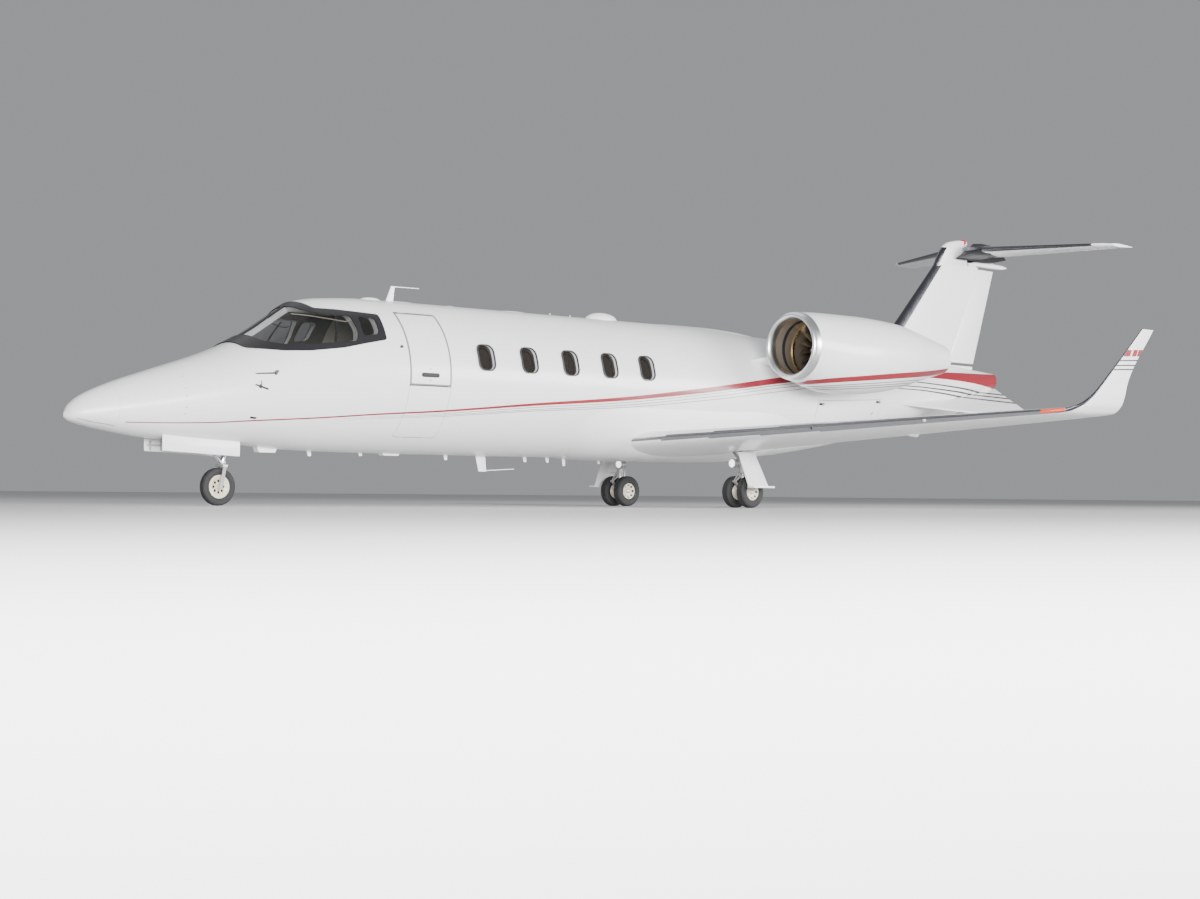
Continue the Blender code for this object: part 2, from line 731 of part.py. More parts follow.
wing_rings = []
for y, front_s, front_z, rear_s, rear_z, ratio, lean in WING:
    tilt = math.radians(lean)
    wing_rings.append(foil_ring(
        Vector((along(front_s), -y, front_z)), Vector((along(rear_s), -y, rear_z)), ratio,
        Vector((0.0, math.sin(tilt), math.cos(tilt))),
    ))
wing = loft("wing_left", wing_rings, WHITE)
cut(wing, belly_cutter)
wing_surfaces = {}
for name, (inner, outer, fraction) in (("flap", FLAP), ("aileron", AILERON)):
    ends = [wing_hinge(inner, fraction), wing_hinge(outer, fraction)]
    surface, room = hinged(f"{name}_left", ends, WHITE)
    cut(wing, room)
    wing_surfaces[name] = surface


def upper_skin(out, fraction, sink):
    front, rear, ratio = wing_edges(out)
    up = foil_half(fraction, ratio) * (rear - front).length - sink
    return front.lerp(rear, fraction) + Vector((0.0, 0.0, up))


def spoiler_panel(name, gap, top, bottom, finish=None):
    """Panel of the spoiler or its pocket: plan limits drawn in by gap, sunk from top to bottom."""
    inner, outer, ahead, behind = SPOILER
    rings = []
    for sink in (bottom, top):
        corners = (
            (inner + gap, ahead), (outer - gap, ahead), (outer - gap, behind), (inner + gap, behind)
        )
        ring = []
        for number, (out, fraction) in enumerate(corners):
            shift = gap if number < 2 else -gap
            ring.append(upper_skin(out, fraction, sink) + Vector((shift, 0.0, 0.0)))
        rings.append(ring)
    return loft(name, rings, finish)


cut(wing, spoiler_panel("spoiler_pocket_cutter", 0.0, -0.08, SPOILER_THICK + 0.010))
spoiler = spoiler_panel("spoiler_left", HINGE_GAP, 0.001, SPOILER_THICK, WHITE)
lug = upper_skin((SPOILER[0] + SPOILER[1]) / 2, SPOILER[2], SPOILER_THICK)
lug.x += HINGE_GAP + 0.008
join(spoiler, rod(
    "spoiler_lug", lug + Vector((0.0, 0.0, 0.004)), lug - Vector((0.0, 0.0, SPOILER_LUG)), 0.008,
    sides=8,
))
spoiler_hinge = upper_skin(SPOILER[0], SPOILER[2], 0.001) + Vector((HINGE_GAP, 0.0, 0.0))
set_origin(spoiler, spoiler_hinge)

(slot_front, slot_rear), (slot_in, slot_out), slot_top = GEAR_SLOT
cut(wing, block(
    "gear_slot_cutter", (along(slot_front), -slot_out, 0.5), (along(slot_rear), -slot_in, slot_top)
))

# Fin, rudder and fin top


def fin_point(height, fraction):
    (low, low_front, low_rear, ratio), (high, high_front, high_rear, _) = FIN
    t = (height - low) / (high - low)
    front_s = low_front + (high_front - low_front) * t
    rear_s = low_rear + (high_rear - low_rear) * t
    station = front_s + (rear_s - front_s) * fraction
    half = foil_half(fraction, ratio) * (rear_s - front_s)
    return Vector((along(station), 0.0, height)), half


def fin_rings(rows):
    return [
        foil_ring(
            Vector((along(front_s), 0.0, z)), Vector((along(rear_s), 0.0, z)), ratio,
            Vector((0.0, 1.0, 0.0)),
        )
        for z, front_s, rear_s, ratio in rows
    ]


fin = loft("fin", fin_rings(FIN), WHITE)
rudder_low, rudder_high, rudder_fraction = RUDDER
rudder_ends = []
for height in (rudder_low, rudder_high):
    point, half = fin_point(height, rudder_fraction)
    rudder_ends.append((point, fin_point(height, 1.0)[0], half * 0.97))
rudder, rudder_room = hinged("rudder", rudder_ends, WHITE, level=Vector((0.0, 0.0, 1.0)))
cut(fin, rudder_room, skin_cutter)
join(fin, loft("fin_cap", fin_rings(FIN_CAP)))
beacon_station, beacon_radius = BEACON
beacon_x = along(beacon_station)
join(fin, rod(
    "beacon", (beacon_x, 0.0, 4.36), (beacon_x, 0.0, 4.468), beacon_radius, sides=12,
    end_radius=beacon_radius * 0.5,
))
join(fin, loft("tail_bullet", [
    [
        Vector((along(station), radius * math.cos(2 * math.pi * k / 12),
                BULLET_HEIGHT + radius * math.sin(2 * math.pi * k / 12)))
        for k in range(12)
    ]
    for station, radius in TAIL_BULLET
]))
join(fin, block("bullet_foot", (along(16.44), -0.028, 3.98), (along(16.63), 0.028, 4.075)))
pivot_station, pivot_z = TRIM_PIVOT
pivot_x = along(pivot_station)
plate_in, plate_out = ROOT_PLATE_Y
pin_reach = plate_in - SEAM
join(fin, block(
    "pivot_post", (pivot_x - 0.015, -0.012, BULLET_HEIGHT), (pivot_x + 0.015, 0.012, pivot_z)
))
join(fin, rod("pivot_pin", (pivot_x, -pin_reach, pivot_z), (pivot_x, pin_reach, pivot_z), 0.010))

# Tailplane on its trim pivot, with the elevators


def tail_edges(out):
    for inner, outer in zip(TAILPLANE, TAILPLANE[1:]):
        if inner[0] <= out <= outer[0]:
            break
    t = (out - inner[0]) / (outer[0] - inner[0])
    y, front_s, rear_s, z, ratio = (a + (b - a) * t for a, b in zip(inner, outer))
    return Vector((along(front_s), -y, z)), Vector((along(rear_s), -y, z)), ratio


tail_rings = []
for row in TAILPLANE:
    front_point, rear_point, ratio = tail_edges(row[0])
    tail_rings.append(foil_ring(front_point, rear_point, ratio, Vector((0.0, 0.0, 1.0))))
right_rings = [[point * Vector((1.0, -1.0, 1.0)) for point in ring] for ring in tail_rings]
tailplane = loft("tailplane", right_rings[:0:-1] + tail_rings, WHITE)
elevator_in, elevator_out, elevator_fraction = ELEVATOR
elevator_ends = []
for out in (elevator_in, elevator_out):
    front_point, rear_point, ratio = tail_edges(out)
    half = foil_half(elevator_fraction, ratio) * (rear_point - front_point).length
    hinge_point = front_point.lerp(rear_point, elevator_fraction)
    elevator_ends.append((hinge_point, rear_point, half * 0.97))
elevator, elevator_room = hinged("elevator_left", elevator_ends, WHITE)
cut(tailplane, elevator_room, right_hand(elevator_room), block(
    "fin_cap_room", (along(15.4), -plate_in, 4.0), (along(16.45), plate_in, 4.6)
))
for hand, side in (("left", -1), ("right", 1)):
    plate = prism(f"root_plate_{hand}", ROOT_PLATE, side * plate_in, side * plate_out)
    join(tailplane, plate)
set_origin(tailplane, (pivot_x, 0.0, pivot_z))

# Delta fins beside the tail cone

lean = math.radians(DELTA_LEAN)
slope_out = Vector((0.0, -math.cos(lean), -math.sin(lean)))
slope_normal = Vector((0.0, -math.sin(lean), math.cos(lean))) * DELTA_THICK / 2
delta_rings = []
for side in (-1, 1):
    delta_rings.append([
        Vector((along(station), 0.0, DELTA_ROOT)) + slope_out * out + slope_normal * side
        for station, out in DELTA
    ])
delta = loft("delta_fin_left", delta_rings, WHITE)
cut(delta, skin_cutter)

# Engine pods

pod = pipe(
    "nacelle_left",
    [pod_ring(station, height, outer) for station, height, outer, *_ in POD],
    [pod_ring(station, height, inner) for station, _, _, height, inner in POD],
    WHITE,
)
lip_station, lip_height, lip_outer, _, lip_inner = POD[0]
lip_depth = lip_station - SEAM - LIP_FRONT
lip_middle, lip_swell = (lip_outer + lip_inner) / 2, (lip_outer - lip_inner) / 2
lip_profile = []
for k in range(7):
    angle = math.pi / 2 * (1 - k / 3)
    lip_profile.append((
        -lip_depth * math.cos(angle), lip_middle + lip_swell * math.sin(angle)
    ))
lip = turned(
    "inlet_lip_left", lip_profile, (along(lip_station - SEAM), -POD_Y, lip_height), POLISHED,
    sides=POD_SIDES, axle="X", ring=True,
)
pod_cutter = loft(
    "pod_cutter", [pod_ring(station, height, outer + SEAM) for station, height, outer, *_ in POD],
    split=True,
)
duct_room = loft(
    "duct_room", [pod_ring(station, height, inner - SEAM) for station, _, _, height, inner in POD],
    split=True,
)

pylon_rings = []
for out, front_s, rear_s, z, ratio in PYLON:
    pylon_rings.append(foil_ring(
        Vector((along(front_s), -out, z)), Vector((along(rear_s), -out, z)), ratio,
        Vector((0.0, 0.0, 1.0)),
    ))
pylon = loft("pylon_left", pylon_rings, WHITE)
cut(pylon, skin_cutter, pod_cutter)

# Engine core as one plain block, which carries the fan on its shaft

core_radius, core_front, core_rear = ENGINE_CORE
shaft_front = FAN_STATION + FAN_BACK + SEAM
core = turned("engine_left", (
    (core_rear + 0.75, 0.0), (core_rear + 0.25, 0.20), (core_rear, core_radius),
    (core_front, core_radius), (core_front, 0.06), (shaft_front, 0.06), (shaft_front, 0.0),
), (along(0.0), -POD_Y, ENGINE_Z), TITANIUM, sides=16, axle="X")
for number in range(5):
    angle = 2 * math.pi * number / 5 + 0.3
    direction = Vector((0.0, math.cos(angle), math.sin(angle)))
    middle = Vector((along(core_front + 0.25), -POD_Y, ENGINE_Z))
    join(core, rod(
        f"engine_strut_{number + 1}", middle + direction * 0.2, middle + direction * 0.5, 0.03,
        sides=6,
    ))
keep(core, duct_room)

fan_x = along(FAN_STATION)
fan = turned("fan_left", (
    (FAN_BACK, 0.0), (FAN_BACK, FAN_HUB), (-0.02, FAN_HUB), (-0.08, 0.100), (-0.15, 0.055),
    (-0.20, 0.0),
), (fan_x, -POD_Y, ENGINE_Z), TITANIUM, sides=16, axle="X")
blade_twist = math.radians(32)
for number in range(FAN_BLADES):
    angle = 2 * math.pi * number / FAN_BLADES
    reach = Vector((0.0, math.cos(angle), math.sin(angle)))
    round_way = Vector((0.0, -math.sin(angle), math.cos(angle)))
    rings = []
    for radius, chord, twist in ((FAN_HUB - 0.03, 0.075, 0.6), (FAN_RADIUS, 0.105, 1.5)):
        swing = blade_twist * twist
        along_blade = Vector((math.cos(swing), 0.0, 0.0)) + round_way * math.sin(swing)
        thick = (Vector((-math.sin(swing), 0.0, 0.0)) + round_way * math.cos(swing)) * 0.004
        middle = Vector((fan_x + 0.02, -POD_Y, ENGINE_Z)) + reach * radius
        rings.append([
            middle - along_blade * chord / 2, middle + thick,
            middle + along_blade * chord / 2, middle - thick,
        ])
    join(fan, loft(f"fan_blade_{number + 1}", rings))

# Glass

pane_centre = Vector((3.05, 2.15))
pane_limits = []
for point in WINDSHIELD:
    drawn_in = (pane_centre - Vector(point)).normalized() * GLASS_GAP
    pane_limits.append(Vector(point) + drawn_in)
glass_stations = spread(2.15, 3.9, 10)
for hand, side in (("left", -1), ("right", 1)):
    glass = pipe(
        f"windshield_{hand}",
        [body_ring(station, -0.006) for station in glass_stations],
        [body_ring(station, -0.006 - GLASS) for station in glass_stations],
        TINTED,
    )
    keep(glass, prism(
        f"windshield_{hand}_limits", pane_limits, side * (CENTRE_POST + GLASS_GAP), side * 1.1
    ))

strip_rise = WINDOW_SIZE[1] / 2 + 0.03
for hand, side in (("left", -1), ("right", 1)):
    strip = pipe(
        f"cabin_windows_{hand}",
        [body_ring(station, -CABIN_WALL - SEAM) for station in (5.15, 6.75, 8.35)],
        [body_ring(station, -CABIN_WALL - GLASS) for station in (5.15, 6.75, 8.35)],
        TINTED,
    )
    keep(strip, block(
        f"cabin_windows_{hand}_limits",
        (along(5.17), min(side * 0.5, side * 1.2), WINDOW_HEIGHT - strip_rise),
        (along(8.33), max(side * 0.5, side * 1.2), WINDOW_HEIGHT + strip_rise),
    ))

# Floor, seats and instrument panel

floor = block(
    "cabin_floor", (along(2.40), -1.0, FLOOR_TOP - 0.05), (along(9.79), 1.0, FLOOR_TOP), CARPET
)
keep(floor, cabin_room)
cut(floor, block(
    "door_swing_room", (along(front - 0.04), -1.0, FLOOR_TOP - 0.1),
    (along(rear + 0.04), -0.45, FLOOR_TOP + 0.1),
))

panel_face = ((2.62, 0.956), (2.74, 0.956), (2.92, 1.70), (2.88, 1.90), (2.55, 1.86), (2.45, 1.70))
panel = prism("instrument_panel", panel_face, -0.56, 0.56, DARK)
keep(panel, cabin_room)


def seat(name, station, middle, facing, finish=None, back=0.62):
    """Chair on its pedestal, whose cushion and leaned back are one piece."""
    outline = [
        (station + facing * behind, FLOOR_TOP + up)
        for behind, up in (
            (-0.25, 0.28), (-0.24, 0.43), (0.15, 0.43), (0.25, 0.45 + back), (0.36, 0.43 + back),
            (0.26, 0.26),
        )
    ]
    chair = prism(name, outline, middle - 0.24, middle + 0.24, finish)
    join(chair, block(
        f"{name}_pedestal",
        (along(station) - 0.14, middle - 0.10, FLOOR_TOP + SEAM),
        (along(station) + 0.14, middle + 0.10, FLOOR_TOP + 0.30),
    ))
    return chair


for hand, side in (("left", -1), ("right", 1)):
    seat(f"pilot_seat_{hand}", 3.42, side * 0.36, 1, HIDE, back=0.54)
    chairs = seat(f"club_seats_{hand}", CLUB_SEATS[0][0], side * 0.47, CLUB_SEATS[0][1], HIDE)
    for number, (station, facing) in enumerate(CLUB_SEATS[1:], 2):
        join(chairs, seat(f"club_seat_{hand}_{number}", station, side * 0.47, facing))
    join(chairs, block(
        f"seat_rail_{hand}",
        (along(CLUB_SEATS[0][0]), side * 0.47 - 0.03, FLOOR_TOP + SEAM),
        (along(CLUB_SEATS[-1][0]), side * 0.47 + 0.03, FLOOR_TOP + 0.03),
    ))

# Nose gear

wheel_station, wheel_z, tyre_radius, tyre_width, rim_radius = NOSE_WHEEL


def tyre_profile(radius, width, rim):
    """Closed tyre section: bead, wall, shoulder and tread on the one side, then on the other."""
    half, wall = width / 2, radius - rim
    side = (
        (0.70 * half, rim + SEAM), (half, rim + 0.42 * wall), (0.90 * half, rim + 0.82 * wall),
        (0.60 * half, radius),
    )
    return side + tuple((-distance, r) for distance, r in side[::-1])


def rim_profile(width, rim, hub, dish, end):
    """Wheel and the stub of axle in it, dished on both faces."""
    half = 0.36 * width
    side = (
        (end, 0.0), (end, hub), (half - dish, hub * 1.5), (half - dish, rim * 0.66),
        (half, rim * 0.90), (half, rim),
    )
    return side + tuple((-distance, r) for distance, r in side[::-1])


nose_centre = (along(wheel_station), 0.0, wheel_z)
turned(
    "nose_tyre", tyre_profile(tyre_radius, tyre_width, rim_radius), nose_centre, RUBBER, ring=True
)
turned(
    "nose_wheel", rim_profile(tyre_width, rim_radius, 0.028, 0.02, FORK_IN - SEAM), nose_centre,
    CREAM,
)
steer_top = Vector((along(STEER_TOP[0]), 0.0, STEER_TOP[1]))
hub = Vector(nose_centre)
steer_way = (steer_top - hub).normalized()
rake = math.atan2(steer_way.x, steer_way.z)
fork_place = Matrix.Translation(hub) @ Matrix.Rotation(rake, 4, "Y")
fork = rod("nose_fork", hub + steer_way * 0.262, hub + steer_way * FORK_TOP, 0.034, BARE)
set_origin(fork, hub)
join(fork, block(
    "fork_bridge", (-0.030, -FORK_OUT - 0.002, 0.236), (0.030, FORK_OUT + 0.002, 0.268),
    matrix=fork_place,
))
for side in (-1, 1):
    join(fork, block(
        f"fork_arm_{side}", (-0.022, min(side * FORK_IN, side * FORK_OUT), -0.03),
        (0.022, max(side * FORK_IN, side * FORK_OUT), 0.262), matrix=fork_place,
    ))
leg = rod(
    "nose_leg", hub + steer_way * (FORK_TOP + SEAM), hub + steer_way * 0.95, LEG_RADIUS, BARE
)
join(leg, rod(
    "nose_drag_brace", hub + steer_way * 0.50, (along(1.45), 0.0, 0.99), 0.022, sides=10
))
leg_half = well_half - SEAM
trunnion_x = along(NOSE_AFT - 0.015)
join(leg, rod(
    "nose_trunnion", (trunnion_x, -leg_half, TRUNNION_Z), (trunnion_x, leg_half, TRUNNION_Z), 0.035
))
keep(leg, block(
    "nose_leg_limits", (along(well_front), -0.3, 0.5), (along(well_rear), 0.3, well_top - SEAM)
))
(door_front, door_rear), door_y, door_thick = NOSE_DOOR
nose_door = loft("nose_gear_door_left", [
    [
        Vector((along(station), -door_y - offset, z))
        for station, z in (
            (door_front, 0.635), (door_rear, 0.585), (door_rear, 0.80), (door_front, 0.87)
        )
    ]
    for offset in (0.0, door_thick)
], WHITE)
cut(nose_door, skin_cutter)

# Main gear, left side

main_station, main_z, main_tyre, main_width, main_rim = MAIN_WHEEL
leg_y = WHEEL_TRACK / 2
main_x = along(main_station)
main_centre = Vector((main_x, -leg_y, main_z))
tyres = []
for place, offset in (("outer", -TWIN_OFFSET), ("inner", TWIN_OFFSET)):
    tyres.append(turned(
        f"main_tyre_left_{place}", tyre_profile(main_tyre, main_width, main_rim),
        main_centre + Vector((0.0, offset, 0.0)), RUBBER, ring=True,
    ))
half_rim = 0.36 * main_width
outer_face, inner_face = TWIN_OFFSET + half_rim, TWIN_OFFSET - half_rim
twin_side = (
    (outer_face - 0.010, 0.0), (outer_face - 0.030, 0.070), (outer_face, 0.100),
    (outer_face, main_rim), (inner_face, main_rim), (AXLE_HALF, 0.075), (AXLE_HALF, AXLE_RADIUS),
)
main_wheels = turned(
    "main_wheels_left", twin_side + tuple((-distance, r) for distance, r in twin_side[::-1]),
    main_centre, CREAM,
)
leg_foot = Vector((main_x, -leg_y, 0.0))
leg_top = slot_top - SEAM
main_leg = rod(
    "main_leg_left", leg_foot + Vector((0.0, 0.0, 0.42)), leg_foot + Vector((0.0, 0.0, leg_top)),
    LEG_RADIUS, BARE,
)
join(
    main_leg,
    rod("main_piston", (main_x, -leg_y, 0.20), (main_x, -leg_y, 0.45), 0.034),
    rod("main_axle_housing", (main_x, -leg_y - 0.044, main_z), (main_x, -leg_y + 0.044, main_z),
        0.052),
    rod("main_side_brace", (main_x, -leg_y + 0.02, 0.62), (main_x, -leg_y + 0.24, leg_top - 0.03),
        0.022, sides=10),
    rod("taxi_lamp", (main_x - 0.12, -leg_y + 0.095, 0.62), (main_x - 0.02, -leg_y + 0.095, 0.62),
        0.060),
)
cut(main_leg, rod(
    "axle_bore", (main_x, -leg_y - 0.1, main_z), (main_x, -leg_y + 0.1, main_z),
    AXLE_RADIUS + SEAM, sides=24,
))
(top_front, top_rear), (top_y, top_z), (low_front, low_rear), (low_y, low_z), thick = STRUT_DOOR
strut_door = loft("strut_door_left", [
    [
        Vector((along(low_front), -low_y - offset, low_z)),
        Vector((along(low_rear), -low_y - offset, low_z)),
        Vector((along(top_rear), -top_y - offset, top_z)),
        Vector((along(top_front), -top_y - offset, top_z)),
    ]
    for offset in (0.0, thick)
], WHITE)
link_y = -leg_y - LEG_RADIUS - SEAM
join(
    strut_door,
    block("door_foot", (along(low_front - 0.005), -low_y - 0.12, low_z - 0.012),
          (along(low_rear + 0.02), -low_y + 0.01, low_z + 0.014)),
    rod("door_link_top", (main_x, link_y, 0.72), (main_x, -1.395, 0.72), 0.014, sides=8),
    rod("door_link_low", (main_x, link_y, 0.50), (main_x, -1.490, 0.50), 0.014, sides=8),
)

# Right-hand side. Both fans turn the same way, so the right one is a plain copy.

for left in (
    wing, wing_surfaces["flap"], wing_surfaces["aileron"], spoiler, elevator, delta, pod, lip,
    pylon, core, nose_door, *tyres, main_wheels, main_leg, strut_door,
):
    right_hand(left)
bpy.context.view_layer.update()
graph = bpy.context.evaluated_depsgraph_get()
right_fan = put(
    "fan_right", bpy.data.meshes.new_from_object(fan.evaluated_get(graph), depsgraph=graph),
    TITANIUM,
)
right_fan.location = (fan_x, POD_Y, ENGINE_Z)
right_fan.rotation_euler = fan.rotation_euler
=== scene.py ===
"""Looks of the parked business jet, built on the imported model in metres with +Z up.

The nose points to -X and the left side is -Y. Pieces follow one another as the aircraft is put
together, from the radome to the landing gear.
"""

import math

import bmesh
import bpy
from mathutils import Matrix, Vector


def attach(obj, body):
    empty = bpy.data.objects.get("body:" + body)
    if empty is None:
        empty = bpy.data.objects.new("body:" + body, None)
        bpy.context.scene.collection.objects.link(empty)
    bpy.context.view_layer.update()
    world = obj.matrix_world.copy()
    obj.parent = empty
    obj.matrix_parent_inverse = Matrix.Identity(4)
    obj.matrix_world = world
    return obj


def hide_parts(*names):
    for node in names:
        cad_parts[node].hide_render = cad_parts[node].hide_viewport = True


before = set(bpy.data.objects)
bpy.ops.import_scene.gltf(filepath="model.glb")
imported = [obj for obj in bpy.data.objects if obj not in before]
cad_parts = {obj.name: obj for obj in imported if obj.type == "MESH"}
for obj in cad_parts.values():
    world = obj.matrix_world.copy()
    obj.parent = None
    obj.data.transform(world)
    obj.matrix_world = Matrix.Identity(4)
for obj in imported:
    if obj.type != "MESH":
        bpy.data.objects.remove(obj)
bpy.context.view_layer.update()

# Radome and nose
# The radome is a moulded glass-fibre cone bolted to the nose, which is riveted aluminium sheet.
# Both are sprayed in gloss white, and a thin red line starts just behind their joint.

LENGTH = 17.88
# Station, half width, top, height of the widest point and bottom
BODY = (
    (0.00, 0.012, 1.035, 1.015, 0.995),
    (0.05, 0.100, 1.125, 1.020, 0.955),
    (0.18, 0.190, 1.232, 1.035, 0.915),
    (0.53, 0.318, 1.392, 1.090, 0.848),
    (1.00, 0.435, 1.553, 1.165, 0.785),
    (1.65, 0.590, 1.765, 1.280, 0.750),
    (2.00, 0.665, 1.898, 1.345, 0.737),
    (2.33, 0.730, 2.057, 1.410, 0.720),
    (2.85, 0.820, 2.385, 1.510, 0.686),
    (3.06, 0.852, 2.510, 1.545, 0.680),
    (3.35, 0.886, 2.560, 1.578, 0.673),
    (4.00, 0.942, 2.597, 1.618, 0.666),
    (5.00, 0.968, 2.600, 1.632, 0.664),
    (9.60, 0.968, 2.600, 1.632, 0.664),
    (11.10, 0.950, 2.531, 1.640, 0.740),
    (12.50, 0.880, 2.478, 1.690, 0.910),
    (14.00, 0.720, 2.415, 1.800, 1.200),
    (15.60, 0.490, 2.355, 1.960, 1.620),
    (17.15, 0.075, 2.254, 2.130, 2.020),
)
RADOME_AFT, NOSE_AFT = 0.53, 2.10
JOINT_GAP = 0.001
SEALANT_HALF, SEALANT_SINK = 0.0018, 0.0004
# Stations, half width and roof of the nose wheel's well, and a height below the whole fuselage
NOSE_WELL = ((1.17, 2.24), 0.185, 1.02)
UNDERNEATH = 0.5


def along(station):
    """X of a station, which is counted aft from the tip of the nose."""
    return station - LENGTH / 2


def smooth(rows, station, column):
    """A column's value at a station, on a curve through the rows that never overshoots them."""
    last = len(rows) - 2
    row = 0
    while row < last and rows[row + 1][0] < station:
        row += 1

    def chord(k):
        return (rows[k + 1][column] - rows[k][column]) / (rows[k + 1][0] - rows[k][0])

    def slope(k):
        if k == 0:
            return chord(0)
        if k > last:
            return chord(last)
        before, after = chord(k - 1), chord(k)
        return 2 * before * after / (before + after) if before * after > 0 else 0.0

    step = rows[row + 1][0] - rows[row][0]
    t = min(max((station - rows[row][0]) / step, 0.0), 1.0)
    start, end = rows[row][column], rows[row + 1][column]
    rise = (3 - 2 * t) * t * t
    return (
        start * (1 - rise) + end * rise
        + (t - 1) * t * step * ((t - 1) * slope(row) + t * slope(row + 1))
    )


def skin_point(station, turn, grow=0.0):
    """Point of the fuselage's skin. Turn is a share of a circle: 0.25 is the top, 0.5 the left."""
    half, top, wide, bottom = (smooth(BODY, station, column) for column in (1, 2, 3, 4))
    angle = 2 * math.pi * turn
    reach = (top - wide if math.sin(angle) > 0 else wide - bottom) + grow
    return Vector((
        along(station), (half + grow) * math.cos(angle), wide + reach * math.sin(angle)
    ))


def sleeve(rows, sides, place, closed=True):
    """Grid wrapped to a shape: place turns a row number and a side number into a point."""
    shape = bmesh.new()
    bmesh.ops.create_grid(shape, x_segments=rows, y_segments=sides, size=0.5)
    for vert in shape.verts:
        vert.co = place(round((vert.co.x + 0.5) * rows), round((vert.co.y + 0.5) * sides))
    if closed:
        bmesh.ops.remove_doubles(shape, verts=shape.verts, dist=0.00001)
        bmesh.ops.recalc_face_normals(shape, faces=shape.faces)
    return shape


def cap(shape):
    """Closes a sleeve's open ends and turns its faces outwards."""
    open_edges = [edge for edge in shape.edges if edge.is_boundary]
    bmesh.ops.holes_fill(shape, edges=open_edges, sides=0)
    bmesh.ops.recalc_face_normals(shape, faces=shape.faces)
    return shape


def slab(outline, low, high, corner=0.0, segments=6):
    """Side-view outline of stations and heights, carried across from y low to y high."""
    shape = bmesh.new()
    verts = [shape.verts.new((along(s), low, z)) for s, z in outline]
    shape.faces.new(verts)
    if corner:
        bmesh.ops.bevel(
            shape, geom=verts, affect="VERTICES", offset=corner, segments=segments, profile=0.5,
            material=-1,
        )
    moved = bmesh.ops.extrude_face_region(shape, geom=list(shape.faces))
    carried = [item for item in moved["geom"] if isinstance(item, bmesh.types.BMVert)]
    bmesh.ops.translate(shape, verts=carried, vec=(0.0, high - low, 0.0))
    bmesh.ops.recalc_face_normals(shape, faces=shape.faces)
    return shape


def box(low, high):
    """Block between two corners."""
    shape = bmesh.new()
    low, high = Vector(low), Vector(high)
    place = Matrix.Translation((low + high) / 2) @ Matrix.Diagonal((*(high - low), 1.0))
    bmesh.ops.create_cube(shape, size=1.0, matrix=place)
    return shape


def rod(start, end, radius, tip=None, sides=20):
    """Round bar between two points, with another radius at its end where tip is given."""
    start, end = Vector(start), Vector(end)
    turn = (end - start).to_track_quat("Z", "Y").to_matrix().to_4x4()
    shape = bmesh.new()
    bmesh.ops.create_cone(
        shape, cap_ends=True, segments=sides, radius1=radius,
        radius2=radius if tip is None else tip, depth=(end - start).length,
        matrix=Matrix.Translation((start + end) / 2) @ turn,
    )
    return shape


def gather(*shapes):
    """One shape of several."""
    whole = bmesh.new()
    for shape in shapes:
        mesh = bpy.data.meshes.new("part")
        shape.to_mesh(mesh)
        shape.free()
        whole.from_mesh(mesh)
        bpy.data.meshes.remove(mesh)
    return whole


def turned(profile, centre, axis=(1.0, 0.0, 0.0), sides=32):
    """Solid of revolution about an axis, from rows of distance along it and radius."""
    axis, centre = Vector(axis).normalized(), Vector(centre)
    across = axis.orthogonal().normalized()
    up = axis.cross(across)

    def place(row, side):
        distance, radius = profile[row]
        angle = 2 * math.pi * side / sides
        return centre + axis * distance + (across * math.cos(angle) + up * math.sin(angle)) * radius

    return cap(sleeve(len(profile) - 1, sides, place))


def skin_at(station, height, side=-1, grow=0.0):
    """Point of the fuselage's skin at a height, on its left side or with side 1 its right."""
    half, top, wide, bottom = (smooth(BODY, station, column) for column in (1, 2, 3, 4))
    reach = (top if height > wide else bottom) - wide
    share = math.sqrt(max(0.0, 1.0 - ((height - wide) / reach) ** 2))
    return Vector((along(station), side * (half + grow) * share, height))


def put(name, shape, *finishes):
    """Makes an object of a shape. Without a finish it is a tool that carve uses up."""
    mesh = bpy.data.meshes.new(name)
    shape.to_mesh(mesh)
    shape.free()
    piece = bpy.data.objects.new(name, mesh)
    bpy.context.scene.collection.objects.link(piece)
    for finish in finishes:
        mesh.materials.append(finish)
    return piece


def settle(piece, angle=35):
    """Works the modifiers into the mesh, smooths it and keeps edges past the angle crisp."""
    graph = bpy.context.evaluated_depsgraph_get()
    mesh = bpy.data.meshes.new_from_object(piece.evaluated_get(graph), depsgraph=graph)
    piece.modifiers.clear()
    piece.data = mesh
    mesh.shade_smooth()
    mesh.set_sharp_from_angle(angle=math.radians(angle))
    return piece


def carve(piece, *tools, operation="DIFFERENCE", solver="MANIFOLD", keep_tools=False):
    """Cuts tools out of a piece, or with INTERSECT or UNION combines them."""
    for number, tool in enumerate(tools):
        step = piece.modifiers.new(f"{operation}_{number}", "BOOLEAN")
        step.operation = operation
        step.object = tool
        step.solver = solver
    settle(piece)
    if not keep_tools:
        for tool in tools:
            bpy.data.objects.remove(tool)
    return piece


def wall(piece, thickness, inner_slot=0):
    """Gives an open skin its thickness inwards, the inner face with a finish of its own."""
    step = piece.modifiers.new("wall", "SOLIDIFY")
    step.thickness = thickness
    step.offset = -1.0
    step.material_offset = inner_slot
    step.material_offset_rim = 0
    return piece


def fit(piece, body, slot, *nodes):
    """Lets a piece ride on its body and stand for its CAD nodes."""
    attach(piece, body)
    if nodes:
        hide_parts(*nodes)
    return piece


def add(name, shape, finish, body, slot, *nodes, angle=35):
    """Makes and fits a piece of one shape in one finish."""
    return fit(settle(put(name, shape, finish.material), angle), body, slot, *nodes)


